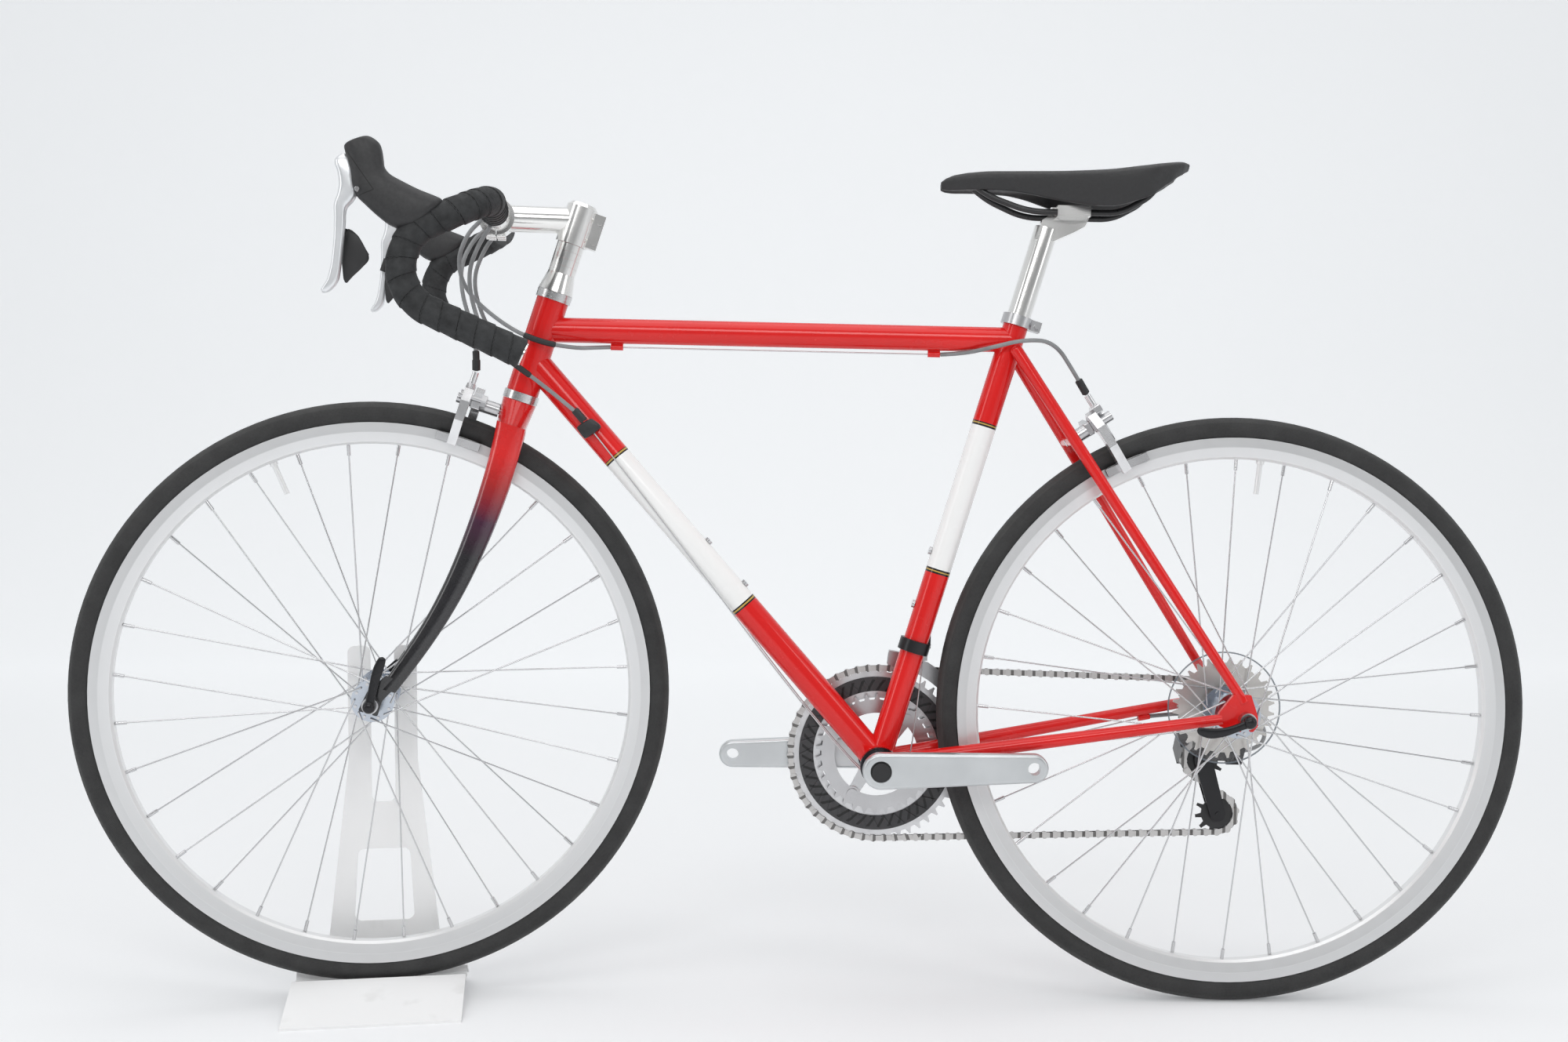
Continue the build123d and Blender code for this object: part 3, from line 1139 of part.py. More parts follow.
def link_plate(y0, y1, hole):
    """A side plate of one link along +X from its first pin, waisted between the pins."""
    ends = [disc(PLATE_RADIUS, y0, y1, at=(x, 0)) for x in (0, CHAIN_PITCH)]
    waist = sided_box(0, CHAIN_PITCH, y0, y1, -PLATE_RADIUS * 0.75, PLATE_RADIUS * 0.75)
    body = fuse(*ends, waist)
    if hole:
        body = body - [disc(hole, y0 - 1, y1 + 1, at=(x, 0)) for x in (0, CHAIN_PITCH)]
    return body


def chain():
    """Roller chain: inner links with their bushed rollers and outer links with their pins."""
    bore = PIN_RADIUS + PIN_CLEAR
    a0, a1 = INNER_PLATE_Y, INNER_PLATE_Y + PLATE_THICK
    b0, b1 = a1 + PLATE_GAP, a1 + PLATE_GAP + PLATE_THICK
    rollers = [disc(ROLLER_RADIUS, -a1, a1, at=(x, 0)) for x in (0, CHAIN_PITCH)]
    inner = fuse(link_plate(a0, a1, 0), link_plate(-a1, -a0, 0), *rollers)
    inner = inner - [disc(bore, -a1 - 1, a1 + 1, at=(x, 0)) for x in (0, CHAIN_PITCH)]
    pins = [disc(PIN_RADIUS, -b1, b1, at=(x, 0)) for x in (0, CHAIN_PITCH)]
    outer = fuse(link_plate(b0, b1, 0), link_plate(-b1, -b0, 0), *pins)
    made = []
    for i, (x, z) in enumerate(PINS):
        x1, z1 = PINS[(i + 1) % len(PINS)]
        place = Pos(x, CHAIN_Y, z) * spin(degrees(atan2(z1 - z, x1 - x)))
        made.append(place * (inner if i % 2 else outer))
    return group(*made)


def around(angle, radius):
    """A point (x, z) round the bottom bracket, at an angle from the right crank's direction."""
    turn = radians(180 + CRANK_ANGLE + angle)
    return BB.X + radius * cos(turn), BB.Z + radius * sin(turn)


def lugs(ring, y0, y1, reach):
    """Adds the four bolted lugs inside a chainring and drills them."""
    holes = []
    for angle in SPIDER_ANGLES:
        at = around(angle, RING_BOLT_CIRCLE)
        out = around(angle, reach)
        lug = disc(RING_LUG_RADIUS, y0, y1, at=at) + disc(RING_LUG_RADIUS, y0, y1, at=out)
        ring = fuse(ring, lug)
        holes.append(disc(RING_BOLT_RADIUS + RUNNING_FIT, y0 - 1, y1 + 1, at=at))
    return ring - holes


BIG_Y = (CHAIN_Y - RING_THICK / 2, CHAIN_Y + RING_THICK / 2)
SMALL_Y = (BIG_Y[0] - RING_SPACING, BIG_Y[1] - RING_SPACING)
SPIDER_Y = (SMALL_Y[1] + TAPE_FIT, BIG_Y[0] - TAPE_FIT)


def big_chainring():
    """Big toothed ring with its lugs, and the ribbed resin ring on its inner face."""
    phase = roller_phase((BB.X, BB.Z), BIG_TEETH)
    ring = Pos(BB.X, CHAIN_Y, BB.Z) * sprocket(BIG_TEETH, RING_THICK, BIG_RING_INNER, phase)
    ring = lugs(ring, *BIG_Y, BIG_RING_INNER)
    y1 = BIG_Y[0] - TAPE_FIT
    y0 = y1 - RESIN_THICK
    resin = disc(RESIN_OUTER, y0, y1, inner=RESIN_INNER, at=(BB.X, BB.Z))
    middle = (RESIN_INNER + RESIN_OUTER) / 2
    length = RESIN_OUTER - RESIN_INNER
    rib = Pos(middle, y0 - RESIN_RIB_HEIGHT / 2 + 0.1, 0) * spin(RESIN_SLANT) * Box(
        length, RESIN_RIB_HEIGHT + 0.2, RESIN_RIB_WIDTH)
    ribs = [Pos(BB.X, 0, BB.Z) * spin(360 * i / RESIN_RIBS) * rib for i in range(RESIN_RIBS)]
    return group(ring, fuse(resin, *ribs))


def small_chainring():
    """Small toothed ring with its lugs, and the bolts that hold both rings to the spider."""
    ring = Pos(BB.X, (SMALL_Y[0] + SMALL_Y[1]) / 2, BB.Z) * sprocket(
        SMALL_TEETH, RING_THICK, SMALL_RING_INNER, 0)
    ring = lugs(ring, *SMALL_Y, SMALL_RING_INNER + RING_LUG_RADIUS)
    bolts = []
    for angle in SPIDER_ANGLES:
        at = around(angle, RING_BOLT_CIRCLE)
        bolts.append(fuse(disc(RING_BOLT_RADIUS, SMALL_Y[0], BIG_Y[1], at=at),
                          disc(RING_BOLT_RADIUS + 2, SMALL_Y[0] - 2, SMALL_Y[0] - TAPE_FIT, at=at)))
    return group(ring, *bolts)


def crank_arm(side, angle):
    """Crank arm outside the frame, its long edges rounded, with the pedal's threaded hole."""
    tip = around(angle, CRANK_LENGTH)
    y0, y1 = sorted((side * CRANK_INNER_Y, side * (CRANK_INNER_Y + CRANK_THICK)))
    circles = [Pos(BB.X, BB.Z) * Circle(CRANK_BOSS_RADIUS), Pos(*tip) * Circle(CRANK_END_RADIUS)]
    outline = make_hull(circles[0].edges() + circles[1].edges())
    arm = extrude(Plane.XZ.offset(-y0) * outline, y1 - y0, dir=(0, 1, 0))
    arm = fillet(arm.faces().filter_by(Axis.Y).edges(), CRANK_ROUND)
    return arm - disc(PEDAL_HOLE_RADIUS, y0 - 1, y1 + 1, at=tip)


def right_crank():
    """Right crank with its four-armed spider and the spindle."""
    centre = (BB.X, BB.Z)
    hub_low = SPIDER_Y[0]
    boss = disc(CRANK_BOSS_RADIUS, hub_low, CRANK_INNER_Y + CRANK_THICK / 2, at=centre)
    pieces = [crank_arm(1, 0), boss,
              disc(SPINDLE_RADIUS, -CRANK_INNER_Y - CRANK_THICK + 2, hub_low + 1, at=centre)]
    holes = []
    for angle in SPIDER_ANGLES:
        at = around(angle, RING_BOLT_CIRCLE)
        across = Vector(at[1] - centre[1], 0, centre[0] - at[0]).normalized() * SPIDER_HALF_WIDTH
        points = [(centre[0] + across.X, centre[1] + across.Z), (at[0] + across.X * 0.7, at[1] + across.Z * 0.7),
                  (at[0] - across.X * 0.7, at[1] - across.Z * 0.7), (centre[0] - across.X, centre[1] - across.Z)]
        pieces += [plate(points, *SPIDER_Y), disc(RING_LUG_RADIUS - 1, *SPIDER_Y, at=at)]
        holes.append(disc(RING_BOLT_RADIUS + RUNNING_FIT, SPIDER_Y[0] - 1, SPIDER_Y[1] + 1, at=at))
    return fuse(*pieces) - holes


def left_crank():
    """Left crank, clamped on the spindle, with its cap and two pinch bolts."""
    centre = (BB.X, BB.Z)
    y0 = -CRANK_INNER_Y - CRANK_THICK
    low = -BB_SHELL_LENGTH / 2 - BB_CUP_THICK - HUB_END_GAP
    boss = disc(CRANK_BOSS_RADIUS - 3, -CRANK_INNER_Y - 1, low, at=centre)
    arm = fuse(crank_arm(-1, 180), boss)
    arm = arm - disc(SPINDLE_RADIUS + RUNNING_FIT, y0 - 1, 0, at=centre)
    cap = disc(CRANK_CAP_RADIUS, y0 - 1, -CRANK_INNER_Y - CRANK_THICK + 2 - TAPE_FIT, at=centre)
    return group(arm, cap)


def cog_y(index):
    """Middle of a cog's thickness; the cog that carries the chain lies in the chain's plane."""
    return CHAIN_Y + (index - COGS.index(DRIVE_COG)) * COG_SPACING


def cassette():
    """Toothed cogs on their body, with spacers, the lock ring, and the disc behind them."""
    phase = roller_phase((REAR_AXLE.X, REAR_AXLE.Z), DRIVE_COG)
    pieces = []
    for i, teeth in enumerate(COGS):
        turn = phase if teeth == DRIVE_COG else 0
        pieces.append(Pos(0, cog_y(i), 0) * sprocket(teeth, COG_THICK, HUB_END_RADIUS + 1, turn))
    low, high = cog_y(0) - COG_THICK / 2, cog_y(len(COGS) - 1) + LOCKRING_THICK
    pieces.append(disc(CASSETTE_BODY_RADIUS, low, high, inner=HUB_END_RADIUS + 1))
    bore = disc(AXLE_RADIUS + RUNNING_FIT, low - 1, high + 1)
    end_wall = disc(HUB_END_RADIUS + 2, high - 3, high)
    return Pos(REAR_AXLE) * (fuse(*pieces, end_wall) - bore)


def spoke_disc():
    """Clear disc between the largest cog and the spokes, on the end of the hub."""
    y1 = cog_y(0) - COG_THICK / 2 - REST_GAP
    return disc(SPOKE_DISC_RADIUS, y1 - SPOKE_DISC_THICK, y1, inner=HUB_END_RADIUS + RUNNING_FIT)


# Rear mech: x along the links towards the front, z along their pins

MECH = Plane(REAR_AXLE + Vector(MECH_BACK, MECH_Y, -MECH_DOWN), x_dir=(-1, 0, 0),
             z_dir=(0, cos(radians(MECH_TILT)), -sin(radians(MECH_TILT))))
EAR_LOW = LINK_HEIGHT / 2 + EAR_GAP
EAR_HIGH = EAR_LOW + EAR_THICK


def mech_link(y):
    """A swing link between its two pins."""
    ends = [rod((x, y, -LINK_HEIGHT / 2), (x, y, LINK_HEIGHT / 2), LINK_END) for x in (0, LINK_LENGTH)]
    bar = sided_box(0, LINK_LENGTH, y - LINK_THICK / 2, y + LINK_THICK / 2, -LINK_HEIGHT / 2, LINK_HEIGHT / 2)
    bores = [rod((x, y, -LINK_HEIGHT), (x, y, LINK_HEIGHT), LINK_PIN_RADIUS + RUNNING_FIT)
             for x in (0, LINK_LENGTH)]
    return MECH.location * (fuse(bar, *ends) - bores)


def mech_ears(x, away):
    """Two ears joined by a web, with the pins of both links; away is the web's side along x."""
    half = LINK_SPACING / 2
    web = sorted((x + away * (LINK_END + 2.5), x + away * (LINK_END + 9)))
    reach = sorted((x - away * LINK_END, web[0] if away < 0 else web[1]))
    pieces = [sided_box(*web, -half - 5, half + 5, -EAR_HIGH, EAR_HIGH)]
    for low, high in ((-EAR_HIGH, -EAR_LOW), (EAR_LOW, EAR_HIGH)):
        pieces.append(sided_box(*reach, -half - 5, half + 5, low, high))
    for y in (-half, half):
        pieces.append(rod((x, y, -EAR_HIGH), (x, y, EAR_HIGH), LINK_PIN_RADIUS))
    return MECH.location * fuse(*pieces)


def rear_mech_bracket():
    """Mech bracket bolted to the hanger, with the fixed ears of the links."""
    x, z = REAR_AXLE.X + HANGER_BACK, REAR_AXLE.Z - HANGER_DOWN
    y0 = DROPOUT_OUT + TAPE_FIT
    web_x = MECH.origin.X + LINK_END + 2.5
    bolt = disc(LINK_PIN_RADIUS + 3, REAR_DROPOUT_INNER - 1, y0 + 1, at=(x, z))
    boss = disc(HANGER_BOSS_RADIUS, y0, y0 + HANGER_BOSS_THICK, at=(x, z))
    arm = plate([(x - 6, z + 6), (x + 6, z + 7), (web_x + 6.5, z - 4), (web_x + 6.5, z - 30), (web_x, z - 30),
                 (web_x, z - 6), (x + 4, z - 7)], y0, y0 + HANGER_BOSS_THICK)
    return fuse(bolt, boss, arm, mech_ears(0, -1))


def rear_mech_knuckle():
    """Lower knuckle: the links' moving ears and the housing of the cage pivot."""
    y0 = CHAIN_Y + CAGE_HALF_WIDTH + CAGE_PLATE_THICK + EAR_GAP
    y1 = y0 + PIVOT_DEPTH
    at = (GUIDE.X, GUIDE.Z)
    front = MECH.origin.X - LINK_LENGTH - LINK_END
    housing = disc(PIVOT_HOUSING, y0, y1, at=at)
    arm = sided_box(front - 9, GUIDE.X, y0, y1, GUIDE.Z - 9, GUIDE.Z + 9)
    post = sided_box(front - 9, front - 2.5, y0, MECH_Y, GUIDE.Z - 9, GUIDE.Z + 12)
    bore = disc(PIVOT_RADIUS + RUNNING_FIT, y0 - 1, y1 + 1, at=at)
    return fuse(housing, arm, post, mech_ears(LINK_LENGTH, 1)) - bore


def rear_mech_cage():
    """Two cage plates with the bolts of both pulleys and the pivot shaft in the knuckle."""
    circles = [Pos(GUIDE.X, GUIDE.Z) * Circle(10.5), Pos(TENSION.X, TENSION.Z) * Circle(9.0)]
    outline = make_hull(circles[0].edges() + circles[1].edges())
    pieces = []
    for y in (CHAIN_Y - CAGE_HALF_WIDTH - CAGE_PLATE_THICK, CHAIN_Y + CAGE_HALF_WIDTH):
        pieces.append(extrude(Plane.XZ.offset(-y) * outline, CAGE_PLATE_THICK, dir=(0, 1, 0)))
    low, high = CHAIN_Y - CAGE_HALF_WIDTH - CAGE_PLATE_THICK - 1, CHAIN_Y + CAGE_HALF_WIDTH + CAGE_PLATE_THICK
    for centre in (GUIDE, TENSION):
        pieces.append(disc(PULLEY_BOLT_RADIUS, low, high + 1, at=(centre.X, centre.Z)))
    end = high + EAR_GAP + PIVOT_DEPTH - 0.5
    pieces.append(disc(PIVOT_RADIUS, high - 0.5, end, at=(GUIDE.X, GUIDE.Z)))
    return fuse(*pieces)


def pulley(centre):
    """A toothed jockey wheel on its bolt."""
    phase = roller_phase((centre.X, centre.Z), PULLEY_TEETH)
    return Pos(centre) * sprocket(PULLEY_TEETH, PULLEY_THICK, PULLEY_BOLT_RADIUS + RUNNING_FIT, phase)


# Front mech: its band is on the seat tube, its link swings about a pin along X

BAND = seat_point(MECH_BAND_ABOVE_BB)
FRONT_PIN = Vector(BAND.X + 9, CHAIN_Y - 3, BAND.Z + 14)
FRONT_PIN_LOW = FRONT_PIN - Vector(0, 0, FRONT_LINK_LENGTH)


def front_mech_clamp():
    """Band round the seat tube with the bracket and pin for the front mech's link."""
    half = MECH_BAND_HEIGHT / 2
    low, high = seat_point(MECH_BAND_ABOVE_BB - half), seat_point(MECH_BAND_ABOVE_BB + half)
    x, y, z = FRONT_PIN.X, FRONT_PIN.Y, FRONT_PIN.Z
    inner = FRONT_LINK_HALF + REST_GAP
    outer = inner + FRONT_EAR
    pieces = [rod(low, high, MECH_BAND_RADIUS),
              sided_box(x - outer, x + outer, 0, y - 8, z - 6, z + 5),
              sided_box(x - outer, x + outer, 0, MECH_BAND_RADIUS + 4, BAND.Z - 3, z + 5)]
    for x0, x1 in ((x - outer, x - inner), (x + inner, x + outer)):
        pieces.append(sided_box(x0, x1, y - 12, y + 4, z - 5, z + 5))
    pieces.append(rod((x - outer, y, z), (x + outer, y, z), LINK_PIN_RADIUS))
    return fuse(*pieces) - seat_core()


def front_mech_link():
    """Front mech link hanging from its fixed pin."""
    x, y = FRONT_PIN.X, FRONT_PIN.Y
    x0, x1 = x - FRONT_LINK_HALF, x + FRONT_LINK_HALF
    ends = [rod((x0, y, p.Z), (x1, y, p.Z), LINK_END - 0.5) for p in (FRONT_PIN, FRONT_PIN_LOW)]
    bar = sided_box(x0, x1, y - 3, y + 3, FRONT_PIN_LOW.Z, FRONT_PIN.Z)
    bores = [rod((x0 - 1, y, p.Z), (x1 + 1, y, p.Z), LINK_PIN_RADIUS + RUNNING_FIT)
             for p in (FRONT_PIN, FRONT_PIN_LOW)]
    return fuse(bar, *ends) - bores


def ring_sector(r0, r1, a0, a1, y0, y1):
    """Part of a flat ring round the bottom bracket, between two angles in degrees."""
    steps = 12
    turns = [radians(a0 + (a1 - a0) * i / steps) for i in range(steps + 1)]
    points = [(BB.X + r1 * cos(t), BB.Z + r1 * sin(t)) for t in turns]
    points += [(BB.X + r0 * cos(t), BB.Z + r0 * sin(t)) for t in reversed(turns)]
    return plate(points, y0, y1)


def front_mech_cage():
    """Front mech cage: two curved plates over the chain, bridged, with ears for the link."""
    low = pitch_radius(BIG_TEETH) + TOOTH_TIP + FRONT_CAGE_CLEAR
    high = low + FRONT_CAGE_DEPTH
    a0, a1 = FRONT_CAGE_SPAN
    inside = CHAIN_Y - CAGE_HALF_WIDTH
    outside = CHAIN_Y + CAGE_HALF_WIDTH
    thick = CAGE_PLATE_THICK
    pieces = [ring_sector(low, high, a0, a1, inside - thick, inside),
              ring_sector(low, high, a0, a1, outside, outside + thick),
              ring_sector(high - 3, high, a0, a0 + 4, inside - thick, outside + thick),
              ring_sector(high - 3, high, a1 - 22, a1, inside - thick, outside + thick)]
    x, y, z = FRONT_PIN_LOW.X, FRONT_PIN_LOW.Y, FRONT_PIN_LOW.Z
    inner = FRONT_LINK_HALF + REST_GAP
    outer = inner + FRONT_EAR
    for x0, x1 in ((x - outer, x - inner), (x + inner, x + outer)):
        pieces.append(sided_box(x0, x1, y - 4, y + 4, z - 16, z + 4))
    pieces.append(rod((x - outer, y, z), (x + outer, y, z), LINK_PIN_RADIUS))
    return fuse(*pieces)


# Seat

TILT = seat_point(SEAT_TUBE_LENGTH) + Vector(TILT_BEHIND_TUBE, 0, TILT_ABOVE_TUBE)
RAIL_Z = TILT.Z - RAIL_DROP
CLAMP_TOP = TILT.Z - 6


def seatpost():
    """Seatpost in the seat tube with a cradle head under the saddle clamp."""
    post = rod(seat_point(SEAT_TUBE_LENGTH - POST_INSERT), seat_point(SEAT_TUBE_LENGTH + POST_SHOWN), POST_RADIUS)
    x, z = TILT.X, TILT.Z
    head = plate([(x - 41, z - 42), (x - 33, z - 20), (x - 22, z - 13), (x + 22, z - 13), (x + 15, z - 27),
                  (x + 2, z - 34), (x - 20, z - 44)], -POST_HALF_HEAD, POST_HALF_HEAD)
    seat = disc(CRADLE_RADIUS + REST_GAP, -POST_HALF_HEAD - 1, POST_HALF_HEAD + 1, at=(x, z))
    return fuse(post, head) - seat


def saddle_clamp():
    """Clamp that tilts in the seatpost's cradle and grips both rails."""
    half = CLAMP_LENGTH / 2
    x, z = TILT.X, TILT.Z
    wide = POST_HALF_HEAD + 1
    core = disc(CRADLE_RADIUS, -wide, wide, at=(x, z)) & sided_box(x - 30, x + 30, -40, 40, z - 40, CLAMP_TOP)
    pieces = [core]
    for y0, y1 in ((-CLAMP_HALF_WIDTH, -wide), (wide, CLAMP_HALF_WIDTH)):
        pieces.append(sided_box(x - half, x + half, y0, y1, CLAMP_TOP - CLAMP_THICK, CLAMP_TOP))
    bores = [rod((x - 40, y, RAIL_Z), (x + 40, y, RAIL_Z), RAIL_RADIUS + RUNNING_FIT)
             for y in (-RAIL_HALF_SPAN, RAIL_HALF_SPAN)]
    return fuse(*pieces) - bores


def rail_points(side):
    """The route of one rail, from under the nose to under the rear."""
    x, y = TILT.X, side * RAIL_HALF_SPAN
    return [(x - 116, side * 8, RAIL_Z + 34), (x - 92, side * 13, RAIL_Z + 17), (x - 50, y, RAIL_Z),
            (x + 52, y, RAIL_Z), (x + 84, y + side * 4, RAIL_Z + 18), (x + 96, y + side * 5, RAIL_Z + 36)]


def saddle_rails():
    """Two round rails, straight where the clamp grips them and bent up at both ends."""
    made = []
    for side in (-1, 1):
        path = route(rail_points(side), share=0.4)
        made.append(sweep(Plane(path @ 0, z_dir=path % 0) * Circle(RAIL_RADIUS), path))
    return group(*made)


def saddle_section(x, half, top, wide, foot, low):
    """One cross section: crowned top, sides drawn in towards the bottom edge."""
    points = [(-foot, low), (-half, wide), (half, wide), (foot, low)]
    crown = ThreePointArc(points[1], (0, top), points[2])
    outline = Wire([Line(points[0], points[1]), crown, Line(points[2], points[3]), Line(points[3], points[0])])
    return Plane((TILT.X + x, 0, TILT.Z), x_dir=(0, 1, 0), z_dir=(1, 0, 0)) * Face(outline)


def saddle_cover():
    """Padded saddle with a crowned top and drawn-in skirts, hollow underneath."""
    body = loft([saddle_section(*section) for section in SADDLE_SECTIONS])
    x, z = TILT.X, TILT.Z
    well = sided_box(x - 86, x + 118, -SADDLE_WELL, SADDLE_WELL, z - 40, z + SADDLE_WELL_TOP)
    return body - [well, saddle_rails()]


# How the pieces are set up: the fork is steered, then the bicycle is tipped onto the stand

STEERED = FORK.location * Rot(0, 0, STEER) * FORK.location.inverse()
TIPPED = Pos(REAR_AXLE) * Rot(0, NOSE_UP, 0) * Pos(-REAR_AXLE)
FRONT_BRAKE = Plane((-BRAKE_FRONT_FACE, 0, -FRONT_BRAKE_DOWN), x_dir=(-1, 0, 0), z_dir=(0, 0, 1))


def stay_direction():
    """Direction up the seatstays in the middle plane."""
    top, foot = seatstay_line(1)
    return (Vector(top.X, 0, top.Z) - Vector(foot.X, 0, foot.Z)).normalized()


def rear_brake_plane():
    up = stay_direction()
    normal = Vector(up.Z, 0, -up.X)
    return Plane(bridge_centre() + normal * (BRIDGE_RADIUS + TAPE_FIT), x_dir=normal, z_dir=up)


def brake_reach(plane, axle_at):
    """Distance down from a brake's centre bolt to the middle of the rim's track."""
    start = plane.from_local_coords((BRAKE_X1 + ARM_GAP / 2, 0, 0)) - axle_at
    up = start.dot(plane.z_dir)
    return up - sqrt(up**2 - (start.length**2 - TRACK_MIDDLE**2))


def pad_lean(plane, axle_at, reach):
    """Degrees from a brake's upright to the rim's radius at its pads."""
    out = plane.from_local_coords((BRAKE_X1 + ARM_GAP / 2, 0, -reach)) - axle_at
    return degrees(atan2(out.dot(plane.x_dir), out.dot(plane.z_dir)))


REAR_BRAKE = rear_brake_plane()
FRONT_AXLE_IN_FORK = Vector(-RAKE, 0, -FORK_LENGTH)
FRONT_REACH = brake_reach(FRONT_BRAKE, FRONT_AXLE_IN_FORK)
FRONT_LEAN = pad_lean(FRONT_BRAKE, FRONT_AXLE_IN_FORK, FRONT_REACH)
REAR_REACH = brake_reach(REAR_BRAKE, REAR_AXLE)
REAR_LEAN = pad_lean(REAR_BRAKE, REAR_AXLE, REAR_REACH)
BARREL_X = BRAKE_X1 + ARM_GAP + ARM_THICK / 2
BARREL_TOP = 18.0 + BARREL_LENGTH * 0.65


def barrel_arm(reach, lean):
    """The side arm with the cable's barrel adjuster on its upper end."""
    arm, pad = side_arm(reach, lean).solids()
    barrel = rod((BARREL_X, 0, BARREL_TOP - BARREL_LENGTH * 0.75), (BARREL_X, 0, BARREL_TOP), BARREL_RADIUS)
    return group(fuse(arm, barrel), pad)


def at_fork(x, y, z):
    """A point of the steered fork's frame, in the level bicycle."""
    return (STEERED * FORK.location * Pos(x, y, z)).position


def stand_plane():
    """Floor plane of the stand, under the tyre's lowest point, and the tyre's height there."""
    centre = (TIPPED * STEERED * Pos(FRONT_AXLE)).position
    across = (TIPPED * STEERED * Pos(FRONT_AXLE + Vector(0, 1, 0))).position - centre
    down = (across * across.Z - Vector(0, 0, 1)).normalized()
    low = centre + down * TYRE_RING - Vector(0, 0, TYRE_SECTION)
    plane = Plane((low.X, low.Y, 0), x_dir=across.cross(Vector(0, 0, 1)), z_dir=(0, 0, 1))
    return plane, low.Z, plane.to_local_coords(centre), plane.to_local_coords(centre + across) - (
        plane.to_local_coords(centre))


STAND, TYRE_LOW, STAND_AXLE, STAND_ACROSS = stand_plane()
TROUGH = TYRE_LOW - REST_GAP
UPRIGHT_Y = (STAND_AXLE.Y + STAND_ACROSS.Y * (FRONT_DROPOUT_INNER + DROPOUT_THICK) + STAND_UPRIGHT_GAP)


def stand():
    """Bent sheet base with a trough for the tyre, and a slotted upright with a window behind it."""
    t = STAND_SHEET
    ridge = TROUGH + STAND_RIDGE_HEIGHT
    top = [(-STAND_FRONT_EDGE, t), (-STAND_RIDGE_HALF, ridge), (-STAND_TROUGH_HALF, TROUGH),
           (STAND_TROUGH_HALF, TROUGH), (STAND_RIDGE_HALF, ridge), (UPRIGHT_Y + 1, 4 * t)]
    outline = Polygon(*(top + [(y, z - t) for y, z in reversed(top)]), align=None)
    half = STAND_BASE_LENGTH / 2
    base = extrude(Plane.YZ.offset(-half) * outline, 2 * half, dir=(1, 0, 0))
    high = STAND_AXLE.Z + STAND_UPRIGHT_ABOVE_AXLE
    slot, wide, foot = STAND_SLOT_WIDTH / 2, STAND_TOP_WIDTH / 2, STAND_FOOT_WIDTH / 2
    side = [(foot, 0), (wide, STAND_TAPER_TOP), (wide, high), (slot, high), (slot, STAND_SLOT_BOTTOM)]
    upright = plate(side + [(-x, z) for x, z in reversed(side)], UPRIGHT_Y, UPRIGHT_Y + t, corner=STAND_CORNER)
    w = STAND_WINDOW_WIDTH / 2
    z0, z1 = STAND_WINDOW
    window = plate([(-w, z0), (w, z0), (w * 0.86, z1), (-w * 0.86, z1)], UPRIGHT_Y - 1, UPRIGHT_Y + t + 1,
                   corner=STAND_CORNER)
    return STAND.location * fuse(base, upright - window)


# Cables


def front_brake_cable():
    """Front brake housing from the right of the bar to the barrel on the brake, in the fork's frame."""
    c = BAR_CENTRE
    end = FRONT_BRAKE.from_local_coords((BARREL_X, 0, BARREL_TOP + BARREL_GAP))
    exit_x, exit_z = c.X - BAR_EXIT * 0.7, c.Z - BAR_EXIT * 0.7
    points = [(exit_x, TAPE_START - REST_GAP, exit_z), (exit_x, TAPE_START - BAR_RUN, exit_z),
              (-108, 40, 150), (-112, 26, 118),
              (-100, 12, 86), (-80, 2, 58), (-65, 0, 34), (end.X, end.Y, end.Z)]
    return cable(points, HOUSING_RADIUS)


def rear_brake_cable():
    """Rear brake: housing past the head tube, bare wire under the top tube, housing to the brake."""
    c = BAR_CENTRE
    a, b = TOP_TUBE_ENDS
    along = (b - a).normalized()
    drop = Vector(0, 0, -TOP_TUBE_RADIUS - STOP_DROP)
    first = a + along * (STOPS_ALONG_TOP[0] - HOUSING_GAP) + drop
    last = a + along * (STOPS_ALONG_TOP[1] + STOP_LENGTH + HOUSING_GAP) + drop
    exit_x, exit_z = c.X - BAR_EXIT * 0.7, c.Z - BAR_EXIT * 0.7
    front = [at_fork(exit_x, -TAPE_START + REST_GAP, exit_z), at_fork(exit_x, -TAPE_START + BAR_RUN, exit_z),
             at_fork(-110, -42, 148), at_fork(-112, -36, 116), at_fork(-92, -30, 86),
             a + Vector(-35.4, -36, -0.8), a + Vector(2.6, -28, -16.8), first + Vector(-36.8, -16, -3),
             first - along * 16 + Vector(0, -3, -1), first]
    end = REAR_BRAKE.from_local_coords((BARREL_X, 0, BARREL_TOP + BARREL_GAP))
    rear = [last, last + along * 24 + Vector(0, -5, 1), b + Vector(-24.4, -22, -10.7),
            b + Vector(9.6, -30, -1.7), b + Vector(45.6, -24, -2.7), end + REAR_BRAKE.z_dir * 27 + Vector(0, -5, 0), end]
    wire = rod(first + along * TAPE_FIT, last - along * TAPE_FIT, WIRE_RADIUS)
    return group(cable(front, HOUSING_RADIUS), wire, cable(rear, HOUSING_RADIUS))


